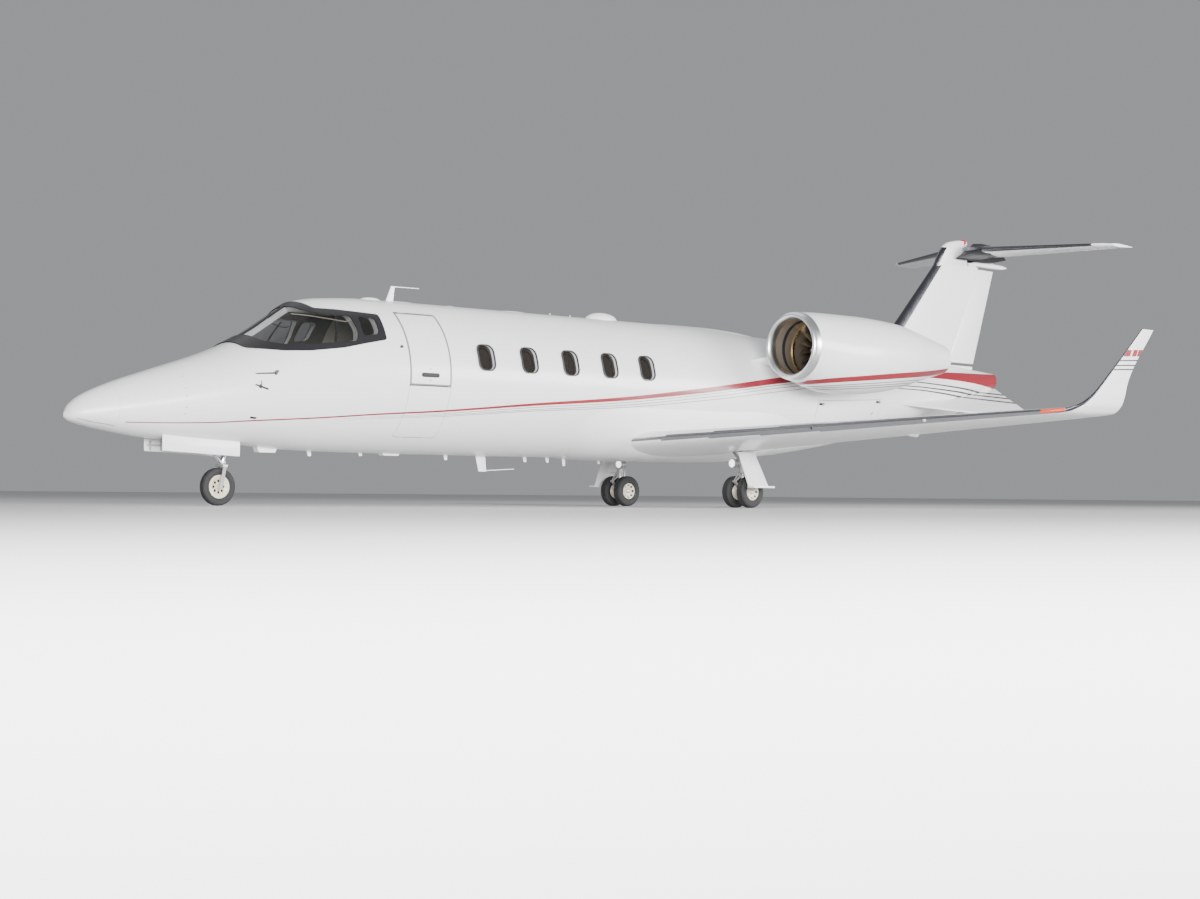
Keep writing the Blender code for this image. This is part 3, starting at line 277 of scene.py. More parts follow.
class Value:
    """A socket of a finish's node tree. Arithmetic on it adds Math nodes."""

    def __init__(self, finish, socket):
        self.finish = finish
        self.socket = socket

    def maths(self, operation, *values):
        return self.finish.node("ShaderNodeMath", {"operation": operation}, values)

    def __add__(self, other):
        return self.maths("ADD", self, other)

    __radd__ = __add__

    def __sub__(self, other):
        return self.maths("SUBTRACT", self, other)

    def __rsub__(self, other):
        return self.maths("SUBTRACT", other, self)

    def __mul__(self, other):
        return self.maths("MULTIPLY", self, other)

    __rmul__ = __mul__

    def __truediv__(self, other):
        return self.maths("DIVIDE", self, other)

    def __lt__(self, other):
        return self.maths("LESS_THAN", self, other)

    def __gt__(self, other):
        return self.maths("GREATER_THAN", self, other)

    def __abs__(self):
        return self.maths("ABSOLUTE", self)

    def clamp(self, low=0.0, high=1.0):
        return self.maths("MINIMUM", self.maths("MAXIMUM", self, low), high)


class Finish:
    """A material around one Principled shader, whose constants are set on its own sockets."""

    def __init__(self, name, colour, **settings):
        self.material = bpy.data.materials.new(name)
        self.material.use_nodes = True
        self.tree = self.material.node_tree
        self.shader = self.tree.nodes["Principled BSDF"]
        self.set("Base Color", (*colour, 1.0))
        for socket, value in settings.items():
            self.set(socket.replace("_", " "), value)
        self.colour = (*colour, 1.0)

    def set(self, socket, value):
        target = self.shader.inputs[socket]
        if isinstance(value, Value):
            self.tree.links.new(value.socket, target)
        else:
            target.default_value = value

    def node(self, kind, settings, inputs=(), out=0):
        """Adds a node: its settings first, then its inputs by number or name."""
        made = self.tree.nodes.new(kind)
        for key, value in settings.items():
            setattr(made, key, value)
        pairs = inputs.items() if isinstance(inputs, dict) else enumerate(inputs)
        for key, value in pairs:
            if isinstance(value, Value):
                self.tree.links.new(value.socket, made.inputs[key])
            else:
                made.inputs[key].default_value = value
        return Value(self, made.outputs[out])

    def place(self):
        return self.node("ShaderNodeTexCoord", {}, out="Object")

    def axis(self, number, vector=None):
        return self.node("ShaderNodeSeparateXYZ", {}, (vector or self.place(),), out=number)

    def noise(self, scale, detail=3.0, rough=0.5):
        return self.node(
            "ShaderNodeTexNoise", {},
            {"Vector": self.place(), "Scale": scale, "Detail": detail, "Roughness": rough},
        )

    def mark(self, name):
        return self.node("ShaderNodeAttribute", {"attribute_name": name}, out="Fac")

    def blend(self, mask, below, above):
        """Colour mix: below where the mask is 0, above where it is 1."""
        return self.node(
            "ShaderNodeMix", {"data_type": "RGBA"}, {0: mask, 6: below, 7: above}, out=2
        )

    def bump(self, height, strength, distance=0.001):
        self.set("Normal", self.node(
            "ShaderNodeBump", {}, {"Strength": strength, "Distance": distance, "Height": height}
        ))
        return self.material


def orange_peel(finish, dirt=0.05):
    """Sprayed enamel: faint ripple, a little haze and a change of tone too weak to name."""
    haze = finish.noise(0.9, 4.0, 0.6)
    fine = finish.noise(14.0, 3.0)
    finish.set("Roughness", (haze * 0.10 + fine * 0.05 + 0.24).clamp())
    finish.bump(finish.noise(160.0, 2.0), 0.035, 0.0006)
    return finish.blend(haze * dirt, finish.colour, (0.60, 0.60, 0.58, 1.0))


WHITE = (0.860, 0.866, 0.874)
STRIPE_RED = (0.270, 0.009, 0.020)
STRIPE_GREY = (0.210, 0.205, 0.215)
STRIPE_DARK = (0.050, 0.050, 0.055)
# Station where the thin lines start to turn near black, and the length over which they do
DARK_START, DARK_LENGTH = 12.3, 1.4
white_paint = Finish("white_paint", WHITE, Coat_Weight=0.2, Coat_Roughness=0.15)
white_paint.set("Base Color", orange_peel(white_paint))

# Station, height of the red stripe, its half width, how far the three lines lie below it and the
# half width of a line
STRIPE = (
    (0.585, 0.944, 0.0050, 0.020, 0.030, 0.045, 0.0000),
    (1.04, 0.948, 0.0055, 0.020, 0.030, 0.045, 0.0000),
    (1.64, 0.967, 0.0065, 0.020, 0.030, 0.045, 0.0000),
    (2.10, 0.999, 0.0080, 0.022, 0.032, 0.046, 0.0000),
    (2.92, 1.054, 0.0090, 0.026, 0.036, 0.050, 0.0000),
    (3.78, 1.125, 0.0100, 0.029, 0.042, 0.054, 0.0015),
    (4.67, 1.189, 0.0120, 0.032, 0.050, 0.066, 0.0030),
    (6.12, 1.321, 0.0170, 0.038, 0.066, 0.084, 0.0042),
    (7.71, 1.455, 0.025, 0.052, 0.086, 0.115, 0.0045),
    (9.46, 1.658, 0.036, 0.060, 0.100, 0.145, 0.0045),
    (10.93, 1.853, 0.044, 0.066, 0.108, 0.160, 0.0045),
    (12.50, 2.020, 0.046, 0.066, 0.118, 0.165, 0.0045),
    (13.50, 2.070, 0.048, 0.095, 0.172, 0.219, 0.0060),
    (14.60, 2.115, 0.050, 0.142, 0.216, 0.268, 0.0100),
    (16.00, 2.128, 0.080, 0.198, 0.262, 0.335, 0.0140),
    (17.15, 2.125, 0.124, 0.235, 0.300, 0.380, 0.0140),
)


def livery(finish):
    """Red stripe over three thin lines, grey and near black aft, from measures on the mesh."""
    base = orange_peel(finish)
    drop, half, line = finish.mark("drop"), finish.mark("half"), finish.mark("line")
    grey = 0.0
    for name in ("first", "second", "third"):
        grey = (abs(drop - finish.mark(name)) < line) + grey
    aft = ((finish.axis(0) - along(DARK_START)) / DARK_LENGTH).clamp()
    shade = finish.blend(aft, (*STRIPE_GREY, 1.0), (*STRIPE_DARK, 1.0))
    coloured = finish.blend(grey, base, shade)
    return finish.blend(abs(drop) < half, coloured, (*STRIPE_RED, 1.0))


livery_paint = Finish("livery_paint", WHITE, Coat_Weight=0.2, Coat_Roughness=0.15)
livery_paint.set("Base Color", livery(livery_paint))


FAR_BELOW = 9.0


def rule_stripe(piece, table=STRIPE):
    """Writes how far each point lies below the stripe, and the stripe's sizes there."""
    places = [vert.co.copy() for vert in piece.data.vertices]
    for column, name in enumerate(("drop", "half", "first", "second", "third", "line"), 1):
        values = [smooth(table, place.x + LENGTH / 2, column) for place in places]
        if name == "drop":
            values = [
                value - place.z if along(table[0][0]) < place.x else FAR_BELOW
                for value, place in zip(values, places)
            ]
        piece.data.attributes.new(name, "FLOAT", "POINT").data.foreach_set("value", values)
    return piece


def round_body(rows, sides, first, last, grow=0.0, spacing=1.0):
    """Open skin of the fuselage between two stations."""
    return sleeve(rows, sides, lambda row, side: skin_point(
        first + (last - first) * (row / rows) ** spacing, side / sides, grow
    ))


add("radome_skin", cap(round_body(26, 96, 0.0, RADOME_AFT - JOINT_GAP, spacing=2.0)),
    white_paint, "airframe", "white_paint", "radome")

nose = put("nose_skin", cap(round_body(36, 128, RADOME_AFT + JOINT_GAP, NOSE_AFT)),
           livery_paint.material)
(well_front, well_rear), well_half, well_top = NOSE_WELL
well_room = put("well_room", box(
    (along(well_front), -well_half, UNDERNEATH), (along(well_rear), well_half, well_top)
))
carve(nose, well_room, keep_tools=True)
fit(rule_stripe(nose), "airframe", "white_paint", "nose_section")

sealant = Finish("joint_sealant", (0.34, 0.34, 0.35), Roughness=0.55)
sealant.bump(sealant.noise(240.0, 2.0), 0.2, 0.0004)
add("radome_joint", cap(round_body(
    1, 96, RADOME_AFT - SEALANT_HALF, RADOME_AFT + SEALANT_HALF, -SEALANT_SINK
)), sealant, "airframe", "white_paint")

# Cockpit walls and glass
# The pressure cabin starts here. On each side a dark painted frame holds one long curved pane
# with a thin post behind it, and a small rear pane, both of thick laminated and tinted glass.

COCKPIT_AFT = 4.00
CABIN_WALL = 0.070
PANE_MAIN = (
    (2.32, 1.965), (2.53, 1.920), (2.82, 1.934), (3.12, 1.967), (3.43, 2.000), (3.474, 2.124),
    (3.450, 2.318), (3.21, 2.312), (2.95, 2.345), (2.86, 2.480), (2.26, 2.120),
)
PANE_REAR = ((3.530, 2.066), (3.758, 2.100), (3.784, 2.306), (3.553, 2.318))
SURROUND = (
    (2.115, 1.867), (2.50, 1.841), (2.805, 1.852), (3.233, 1.906), (3.518, 1.970),
    (3.846, 2.036), (3.868, 2.360), (3.35, 2.392), (3.05, 2.40), (2.93, 2.60), (2.05, 2.20),
)
PANE_CORNER, REAR_CORNER = 0.04, 0.05
# Half the post between the two windshields, and a distance from the middle outside every wall
CENTRE_POST = 0.035
OUTSIDE = 1.2
SURROUND_STAND, SURROUND_THICK = 0.0022, 0.012
GLASS_SINK, GLASS_THICK = -0.008, 0.012

cabin_lining = Finish("cabin_lining", (0.62, 0.57, 0.48), Roughness=0.75)
cabin_lining.bump(cabin_lining.noise(320.0, 3.0), 0.25, 0.0005)


def across(side, near, far):
    """Low and high y from near to far from the middle, on the left or with side 1 the right."""
    return sorted((side * near, side * far))


def windows_cut(outline, near, far, corner):
    """Two tools that cut one outline through the left and the right wall."""
    return [
        put(f"cut_{side}", slab(outline, *across(side, near, far), corner)) for side in (-1, 1)
    ]


cockpit_lining = Finish("cockpit_lining", (0.12, 0.105, 0.085), Roughness=0.8)
cockpit_lining.bump(cockpit_lining.noise(320.0, 3.0), 0.25, 0.0005)
cockpit = put("cockpit_skin", round_body(52, 144, NOSE_AFT, COCKPIT_AFT), livery_paint.material,
              cockpit_lining.material)
carve(
    wall(cockpit, CABIN_WALL, 1), *windows_cut(PANE_MAIN, CENTRE_POST, 1.1, PANE_CORNER),
    *windows_cut(PANE_REAR, CENTRE_POST, 1.1, REAR_CORNER), well_room,
)
fit(rule_stripe(cockpit), "airframe", "white_paint", "cockpit_shell")

frame_paint = Finish("surround_paint", (0.017, 0.017, 0.019), Specular_IOR_Level=0.15)
frame_paint.set("Base Color", orange_peel(frame_paint, 0.01))


def skin_patch(name, rows, sides, stations, turns, grow, thickness, finish):
    """Sheet that follows the fuselage's skin between two stations and two shares of a turn."""
    (first, last), (start, end) = stations, turns
    shape = sleeve(rows, sides, lambda row, side: skin_point(
        first + (last - first) * row / rows, start + (end - start) * side / sides, grow
    ), closed=False)
    middle = skin_point((first + last) / 2, (start + end) / 2, grow)
    face = min(shape.faces, key=lambda f: (f.calc_center_median() - middle).length)
    axis_point = Vector((middle.x, 0.0, smooth(BODY, (first + last) / 2, 3)))
    if face.normal.dot(middle - axis_point) < 0:
        bmesh.ops.reverse_faces(shape, faces=shape.faces)
    return wall(put(name, shape, finish), thickness)


for hand, side in (("left", -1), ("right", 1)):
    turns = (0.24, 0.56) if side < 0 else (-0.06, 0.26)
    surround = skin_patch(
        f"windshield_surround_{hand}", 60, 60, (2.04, 3.90), turns, SURROUND_STAND,
        SURROUND_THICK, frame_paint.material,
    )
    carve(
        surround, put("limits", slab(SURROUND, *across(side, 0.0004, OUTSIDE), 0.03)),
        operation="INTERSECT",
    )
    carve(
        surround, put("main", slab(PANE_MAIN, *across(side, CENTRE_POST, 1.3), PANE_CORNER)),
        put("rear", slab(PANE_REAR, *across(side, CENTRE_POST, 1.3), REAR_CORNER)),
    )
    fit(surround, "airframe", "white_paint")

glass = Finish("laminated_glass", (0.018, 0.020, 0.019), Roughness=0.02, IOR=1.5,
               Alpha=0.30, Specular_IOR_Level=0.3)
glass.set("Roughness", glass.noise(2.0, 3.0) * 0.03 + 0.01)
for hand, side in (("left", -1), ("right", 1)):
    turns = (0.235, 0.56) if side < 0 else (-0.06, 0.265)
    for part, outline, corner in (
        ("main", PANE_MAIN, PANE_CORNER), ("rear", PANE_REAR, REAR_CORNER)
    ):
        pane = skin_patch(
            f"pane_{part}_{hand}", 50, 50, (2.15, 3.90), turns, GLASS_SINK, GLASS_THICK,
            glass.material,
        )
        carve(
            pane, put("limits", slab(outline, *across(side, CENTRE_POST, OUTSIDE), corner)),
            operation="INTERSECT",
        )
        nodes = (f"windshield_{hand}",) if part == "main" else ()
        fit(pane, "airframe", "tinted_glass", *nodes)

edge_metal = Finish("retainer_metal", (0.56, 0.50, 0.41), Metallic=0.8)
edge_metal.set("Roughness", edge_metal.noise(60.0, 3.0) * 0.2 + 0.30)
RETAINER = (
    (2.83, 2.318), (3.05, 2.275), (3.355, 2.236), (3.455, 2.255), (3.46, 2.13), (3.425, 1.990),
)
RETAINER_WIDTH = 0.014
SIDE_POST = ((3.269, 2.300), (3.137, 1.970))
SIDE_POST_WIDTH = 0.026
GLARESHIELD = ((2.60, 1.86), (2.90, 1.90), (2.96, 1.885), (2.93, 1.84), (2.62, 1.80))
GLARESHIELD_HALF = 0.50


def ribbon(line, width, side, grow=0.0012, thickness=0.0015):
    """Thin strip laid along stations and heights on the skin, with both faces."""
    shape = bmesh.new()
    rows = []
    for number, (station, height) in enumerate(line):
        before, after = line[max(number - 1, 0)], line[min(number + 1, len(line) - 1)]
        way = Vector((after[0] - before[0], after[1] - before[1])).normalized()
        edges = []
        for share in (-0.5, 0.5):
            at = (station - way.y * width * share, height + way.x * width * share)
            edges += [skin_at(*at, side, grow), skin_at(*at, side, grow + thickness)]
        rows.append([shape.verts.new(edges[k]) for k in (0, 1, 3, 2)])
    for one, two in zip(rows, rows[1:]):
        for k in range(4):
            shape.faces.new((one[k], one[(k + 1) % 4], two[(k + 1) % 4], two[k]))
    return cap(shape)


def finer(line, step=0.03):
    """The same line with points no further apart than a step."""
    points = [line[0]]
    for start, end in zip(line, line[1:]):
        count = max(1, math.ceil(math.hypot(end[0] - start[0], end[1] - start[1]) / step))
        points += [
            (start[0] + (end[0] - start[0]) * k / count, start[1] + (end[1] - start[1]) * k / count)
            for k in range(1, count + 1)
        ]
    return points


for hand, side in (("left", -1), ("right", 1)):
    strip = ribbon(finer(RETAINER), RETAINER_WIDTH, side, 0.0026)
    add(f"pane_retainer_{hand}", strip, edge_metal, "airframe", "gear_metal")
    post = ribbon(finer(SIDE_POST), SIDE_POST_WIDTH, side, -0.006, 0.009)
    add(f"side_post_{hand}", post, frame_paint, "airframe", "dark_trim")

add("glareshield", slab(GLARESHIELD, -GLARESHIELD_HALF, GLARESHIELD_HALF, 0.01, 3), frame_paint,
    "airframe", "dark_trim")

# Nose probes and fasteners
# Air-data probes are plated brass tubes on cast brackets, screwed through the nose skin on both
# sides. A flat vane below them measures the flow's angle, and a black port reads still air.

# Tip and root of the probe, then where the bracket, the vane and the port meet the skin
PROBE = ((2.118, -0.655, 1.550), (2.363, -0.717, 1.565))
BRACKET, VANE, PORT = (2.36, 1.565), (2.15, 1.40), (4.046, 1.955)
STUD_STATION, STUD_HEIGHTS = 1.28, (1.06, 1.13, 1.265, 1.35, 1.48)
SEAM, SLOT = ((0.098, 0.978), (0.245, 0.943), (0.525, 0.903)), ((2.076, 1.037), (2.157, 1.030))
probe_metal = Finish("probe_metal", (0.10, 0.09, 0.085), Metallic=0.9)
probe_metal.set("Roughness", probe_metal.noise(80.0, 3.0) * 0.2 + 0.25)
for hand, side in (("left", -1), ("right", 1)):
    tip, root = (Vector((along(s), -side * y, z)) for s, y, z in PROBE)
    way = (root - tip).normalized()
    bracket = skin_at(*BRACKET, side, -0.004)
    vane_root = skin_at(*VANE, side, -0.003)
    out = Vector((0.0, side, 0.0))
    blade_middle = vane_root + out * 0.024
    shape = gather(
        rod(tip, root, 0.0085, 0.012), rod(tip - way * 0.02, tip, 0.004, 0.0085),
        rod(bracket, root, 0.026, 0.014), rod(bracket - out * 0.004, bracket + out * 0.006, 0.036),
        rod(vane_root, vane_root + out * 0.030, 0.008),
        rod(blade_middle + Vector((-0.085, 0.0, 0.020)),
            blade_middle + Vector((0.085, 0.0, -0.028)), 0.0060, 0.0110, 8),
        rod(vane_root + out * 0.02, vane_root + out * 0.02 + Vector((-0.008, 0.0, 0.075)),
            0.0060, 0.0040, 10),
        rod(vane_root, vane_root + out * 0.005, 0.026),
    )
    add(f"air_probes_{hand}", shape, probe_metal, "airframe", "gear_metal")
    port_plate = turned(
        ((0.0, 0.025), (0.0045, 0.025), (0.0055, 0.022)), skin_at(*PORT, side, -0.002), out
    )
    add(f"static_port_{hand}", port_plate, frame_paint, "airframe", "dark_trim")
    studs = gather(*(
        rod(skin_at(STUD_STATION, z, side, -0.002), skin_at(STUD_STATION, z, side, 0.0016), 0.009,
            sides=12)
        for z in STUD_HEIGHTS
    ))
    add(f"nose_fasteners_{hand}", studs, sealant, "airframe", "dark_trim")
    seams = gather(
        ribbon(finer(SEAM, 0.02), 0.004, side, 0.0002, 0.0010),
        ribbon(SLOT, 0.022, side, 0.0002, 0.0020),
    )
    add(f"nose_seam_{hand}", seams, frame_paint, "airframe", "dark_trim")

# Cabin walls and windows
# Stretched aluminium skins over frames, with five oval-cornered windows a side. Each window has a
# dark rubber seal, a bright reveal and a tinted stretched-acrylic pane set back in the wall.

CABIN_AFT = 10.00
# Stations of the windows' middles, the height of their middles, their size and corner radius
WINDOW_STATIONS = (5.340, 6.055, 6.765, 7.465, 8.155)
WINDOW_HEIGHT = 1.890
WINDOW_SIZE = (0.250, 0.320)
WINDOW_CORNER = 0.085
# Half length of the patch of skin that each window's seal and pane are cut from
SEAL_PATCH, PANE_PATCH = 0.17, 0.15
# How far the seal reaches past the opening and into it, its corners, its stand and its thickness
SEAL_OUT, SEAL_IN, SEAL_CORNERS, SEAL_STAND, SEAL_THICK = 0.012, 0.001, (0.095, 0.084), 0.0015, 0.020
# Gap round the pane, its corner, how far back in the wall it lies and its thickness
WINDOW_GAP, WINDOW_ROUND, WINDOW_BACK, WINDOW_THICK = 0.0005, 0.0845, 0.042, 0.010
DOOR_STATIONS = (4.133, 4.768)
DOOR_TOP, DOOR_SPLIT, DOOR_BOTTOM = 2.414, 1.492, 0.860
# Reach in y of a tool that cuts the left wall only
LEFT_WALL = (-1.2, -0.2)
BULKHEAD_AHEAD, BULKHEAD_THICK = 0.01, 0.05


def rectangle(front, rear, low, high):
    """Side-view outline between two stations and two heights."""
    return ((front, low), (rear, low), (rear, high), (front, high))


def window_outline(station, grow=0.0):
    """Outline of the window at a station, wider all round by grow."""
    half_w, half_h = WINDOW_SIZE[0] / 2 + grow, WINDOW_SIZE[1] / 2 + grow
    return rectangle(
        station - half_w, station + half_w, WINDOW_HEIGHT - half_h, WINDOW_HEIGHT + half_h
    )


cabin = put("cabin_skin", round_body(110, 144, COCKPIT_AFT, CABIN_AFT), livery_paint.material,
            cabin_lining.material)
openings = []
for station in WINDOW_STATIONS:
    openings += windows_cut(window_outline(station), 0.6, 1.2, WINDOW_CORNER)
openings.append(put("door_opening", slab(
    rectangle(*DOOR_STATIONS, DOOR_BOTTOM, DOOR_TOP), *LEFT_WALL, 0.025
)))
carve(wall(cabin, CABIN_WALL, 1), *openings)
bulkhead_aft = CABIN_AFT - BULKHEAD_AHEAD
add("bulkhead", cap(round_body(1, 96, bulkhead_aft - BULKHEAD_THICK, bulkhead_aft, -0.069)),
    cabin_lining, "airframe", "white_paint")
fit(rule_stripe(cabin), "airframe", "white_paint", "cabin_shell")

seal = Finish("window_seal", (0.030, 0.030, 0.032), Roughness=0.5)
seal.bump(seal.noise(400.0, 2.0), 0.15, 0.0003)
pane_tint = Finish("acrylic_pane", (0.020, 0.017, 0.014), Roughness=0.04, Alpha=0.75,
                   Coat_Weight=0.6, Coat_Roughness=0.03)
pane_tint.set("Roughness", pane_tint.noise(3.0, 2.0) * 0.05 + 0.02)
for number, station in enumerate(WINDOW_STATIONS, 1):
    for hand, side in (("left", -1), ("right", 1)):
        turns = (0.38, 0.54) if side < 0 else (-0.04, 0.12)
        ring = skin_patch(
            f"window_seal_{hand}_{number}", 12, 14, (station - SEAL_PATCH, station + SEAL_PATCH),
            turns, SEAL_STAND, SEAL_THICK, seal.material,
        )
        reach = across(side, 0.6, OUTSIDE)
        carve(ring, put("outer", slab(window_outline(station, SEAL_OUT), *reach, SEAL_CORNERS[0])),
              operation="INTERSECT")
        carve(ring, put("inner", slab(window_outline(station, -SEAL_IN), *reach, SEAL_CORNERS[1])))
        fit(ring, "airframe", "tinted_glass")
        pane = skin_patch(
            f"window_pane_{hand}_{number}", 10, 12, (station - PANE_PATCH, station + PANE_PATCH),
            turns, -WINDOW_BACK, WINDOW_THICK, pane_tint.material,
        )
        carve(pane, put("outer", slab(window_outline(station, -WINDOW_GAP), *reach, WINDOW_ROUND)),
              operation="INTERSECT")
        nodes = (f"cabin_windows_{hand}",) if number == 1 else ()
        fit(pane, "airframe", "tinted_glass", *nodes)

# Cabin door
# Two leaves close the doorway, an upper one that swings up and a lower one that folds down as
# the steps. A grey rubber seal shows round the upper leaf, and its handle sits in a dark plate.

DOOR_GAP = 0.006
LEAF_CORNER = 0.022
SEAL_WIDTH = 0.016
# Front, rear, bottom and top of the handle's plate, and the two locks
HANDLE_PLATE = (4.306, 4.574, 1.598, 1.653)
LOCKS = ((4.44, 1.700), (4.44, 1.560))
# Piece, body, bottom and top, then the hinge knuckles' y and the heights that they span
LEAVES = (
    ("door_upper", "upper_door_leaf", DOOR_SPLIT + DOOR_GAP, DOOR_TOP - DOOR_GAP,
     -0.567, DOOR_TOP - 0.020, DOOR_TOP - 0.002),
    ("door_lower", "lower_door_leaf", DOOR_BOTTOM + DOOR_GAP, DOOR_SPLIT - DOOR_GAP,
     -0.5805, DOOR_BOTTOM + 0.002, DOOR_BOTTOM + 0.020),
)
door_front, door_rear = DOOR_STATIONS
for name, body, low, high, hinge_y, knuckle_low, knuckle_high in LEAVES:
    leaf = put(f"{name}_skin", round_body(24, 144, door_front - 0.1, door_rear + 0.1),
               livery_paint.material, cabin_lining.material)
    wall(leaf, CABIN_WALL, 1)
    limits = put("limits", slab(
        rectangle(door_front + DOOR_GAP, door_rear - DOOR_GAP, low, high), *LEFT_WALL, LEAF_CORNER
    ))
    carve(leaf, limits, operation="INTERSECT")
    fit(rule_stripe(leaf), body, "white_paint", name)
    knuckles = gather(*(
        box((along(station), hinge_y - 0.002, knuckle_low),
            (along(station + 0.06), hinge_y + 0.012, knuckle_high))
        for station in (door_front + 0.10, door_rear - 0.16)
    ))
    add(f"{name}_knuckles", knuckles, edge_metal, body, "gear_metal")

edge_seal = Finish("door_seal", (0.20, 0.20, 0.205), Roughness=0.6)
edge_seal.bump(edge_seal.noise(300.0, 2.0), 0.15, 0.0003)
leaf_edges = (
    door_front + DOOR_GAP, door_rear - DOOR_GAP, DOOR_SPLIT + DOOR_GAP, DOOR_TOP - DOOR_GAP
)
door_seal = skin_patch("door_upper_seal", 40, 90, DOOR_STATIONS, (0.335, 0.54), 0.0012, 0.006,
                       edge_seal.material)
carve(door_seal, put("outer", slab(rectangle(*leaf_edges), *LEFT_WALL, LEAF_CORNER)),
      operation="INTERSECT")
carve(door_seal, put("inner", slab(rectangle(
    leaf_edges[0] + SEAL_WIDTH, leaf_edges[1] - SEAL_WIDTH, leaf_edges[2] + SEAL_WIDTH,
    leaf_edges[3] - SEAL_WIDTH,
), -1.3, -0.1, 0.015)))
fit(door_seal, "upper_door_leaf", "dark_trim")

handle_front, handle_rear, handle_low, handle_high = HANDLE_PLATE
plate = skin_patch("door_handle_plate", 30, 12, (4.29, 4.59), (0.48, 0.515), 0.0014, 0.006,
                   frame_paint.material)
carve(plate, put("limits", slab(rectangle(*HANDLE_PLATE), *LEFT_WALL, 0.0265)),
      operation="INTERSECT")
fit(plate, "upper_door_leaf", "dark_trim")
handle_z = (handle_low + handle_high) / 2
handle_y = skin_at(4.4, handle_z).y
grip = gather(
    *(rod(skin_at(station, handle_z, -1, 0.0), skin_at(station, handle_z, -1, 0.005), 0.013)
      for station in (handle_front + 0.030, handle_rear - 0.030)),
    box((along(handle_front + 0.07), handle_y - 0.0050, handle_z + 0.006),
        (along(handle_rear - 0.07), handle_y + 0.0020, handle_z + 0.010)),
)
add("door_handle", grip, white_paint, "upper_door_leaf", "white_paint")
locks = gather(*(
    rod(skin_at(station, z, -1, -0.002), skin_at(station, z, -1, 0.002), 0.008)
    for station, z in LOCKS
))
add("door_locks", locks, frame_paint, "upper_door_leaf", "dark_trim")

# The first step's foot, the pitch and a step's span, in degrees down from the widest point
STEP_FOOT, STEP_PITCH, STEP_SPAN = 42, 11.5, 8.5
STEP_INSET = 0.07
CABIN_ROW = BODY[12]


def wall_point(angle, depth):
    """Point of the left wall's section, by its angle below the widest point."""
    radius = CABIN_ROW[1] - depth
    return Vector((0.0, -radius * math.cos(angle), CABIN_ROW[3] - radius * math.sin(angle)))


def hull(points):
    """Closed shape drawn tight round a set of points."""
    shape = bmesh.new()
    for point in points:
        shape.verts.new(point)
    bmesh.ops.convex_hull(shape, input=shape.verts)
    bmesh.ops.recalc_face_normals(shape, faces=shape.faces)
    return shape


for number in range(3):
    foot = math.radians(STEP_FOOT - STEP_PITCH * number)
    head = foot - math.radians(STEP_SPAN)
    corner = (wall_point(foot, 0.10) + wall_point(head, 0.10)) / 2 + Vector((0.0, 0.12, 0.02))
    ring = [wall_point(foot, 0.055), wall_point(head, 0.055), wall_point(head, 0.085), corner]
    tread = hull(
        point + Vector((along(station), 0.0, 0.0))
        for station in (door_front + STEP_INSET, door_rear - STEP_INSET) for point in ring
    )
    bmesh.ops.bevel(tread, geom=list(tread.edges), offset=0.004, segments=2, affect="EDGES",
                    profile=0.5, clamp_overlap=True, material=-1)
    add(f"door_step_{number + 1}", tread, edge_metal, "lower_door_leaf", "gear_metal")

# Rear fuselage
# A tapering riveted shell behind the pressure bulkhead, with the baggage door in its left side
# below the engine. The red stripe widens along it into a band round the end of the tail cone.

TAIL_AFT = 17.15
TAIL_WALL = 0.035
BAG_FRONT_GAP = 0.015
BAG_LATCHES = ((11.70, 1.530), (13.12, 1.615))
BAG_CATCH = ((13.065, 1.420), (13.105, 1.455))
BAG_KNUCKLES = (12.10, 12.75)
BAG_REACH = (-1.2, -0.3)
# Station, bottom and top of the baggage door's front edge and of its rear edge
BAG_DOOR = ((11.66, 1.05, 1.58), (13.28, 1.30, 1.66))
(bag_front, bag_low_front, bag_high_front), (bag_rear, bag_low_rear, bag_high_rear) = BAG_DOOR


def bag_outline(gap, front_gap):
    """Outline of the baggage door, smaller by a gap, with a gap of its own at the front."""
    return (
        (bag_front + front_gap, bag_low_front + gap), (bag_rear - gap, bag_low_rear + gap),
        (bag_rear - gap, bag_high_rear - gap), (bag_front + front_gap, bag_high_front - gap),
    )


dark_lining = Finish("primer_inside", (0.30, 0.32, 0.24), Roughness=0.8)
dark_lining.bump(dark_lining.noise(60.0, 4.0), 0.2, 0.0006)
tail = put("tail_skin", round_body(120, 128, CABIN_AFT, TAIL_AFT), livery_paint.material,
           dark_lining.material)
carve(wall(tail, TAIL_WALL, 1), put("bag_opening", slab(bag_outline(0.0, 0.0), *BAG_REACH, 0.03)))
fit(rule_stripe(tail), "airframe", "white_paint", "tail_section")
add("tail_end", cap(round_body(1, 96, TAIL_AFT - 0.05, TAIL_AFT - 0.012, -0.030)), frame_paint,
    "airframe", "white_paint")

bag_leaf = put("baggage_door_skin", round_body(40, 128, bag_front - 0.1, bag_rear + 0.1),
               livery_paint.material, dark_lining.material)
wall(bag_leaf, TAIL_WALL, 1)
carve(bag_leaf, put("limits", slab(bag_outline(DOOR_GAP, BAG_FRONT_GAP), *BAG_REACH, 0.026)),
      operation="INTERSECT")
fit(rule_stripe(bag_leaf), "baggage_leaf", "white_paint", "baggage_door")
plates, handles = [], []
for station, z in BAG_LATCHES:
    plates.append(ribbon(finer(((station, z), (station + 0.12, z))), 0.034, -1, -0.001, 0.003))
    handles.append(ribbon(((station + 0.07, z), (station + 0.105, z)), 0.014, -1, 0.002, 0.003))
plates.append(ribbon(BAG_CATCH, 0.014, -1, -0.001, 0.003))
add("latch_plates", gather(*plates), frame_paint, "baggage_leaf", "dark_trim")
add("latch_handles", gather(*handles), edge_metal, "baggage_leaf", "gear_metal")
hinges = []
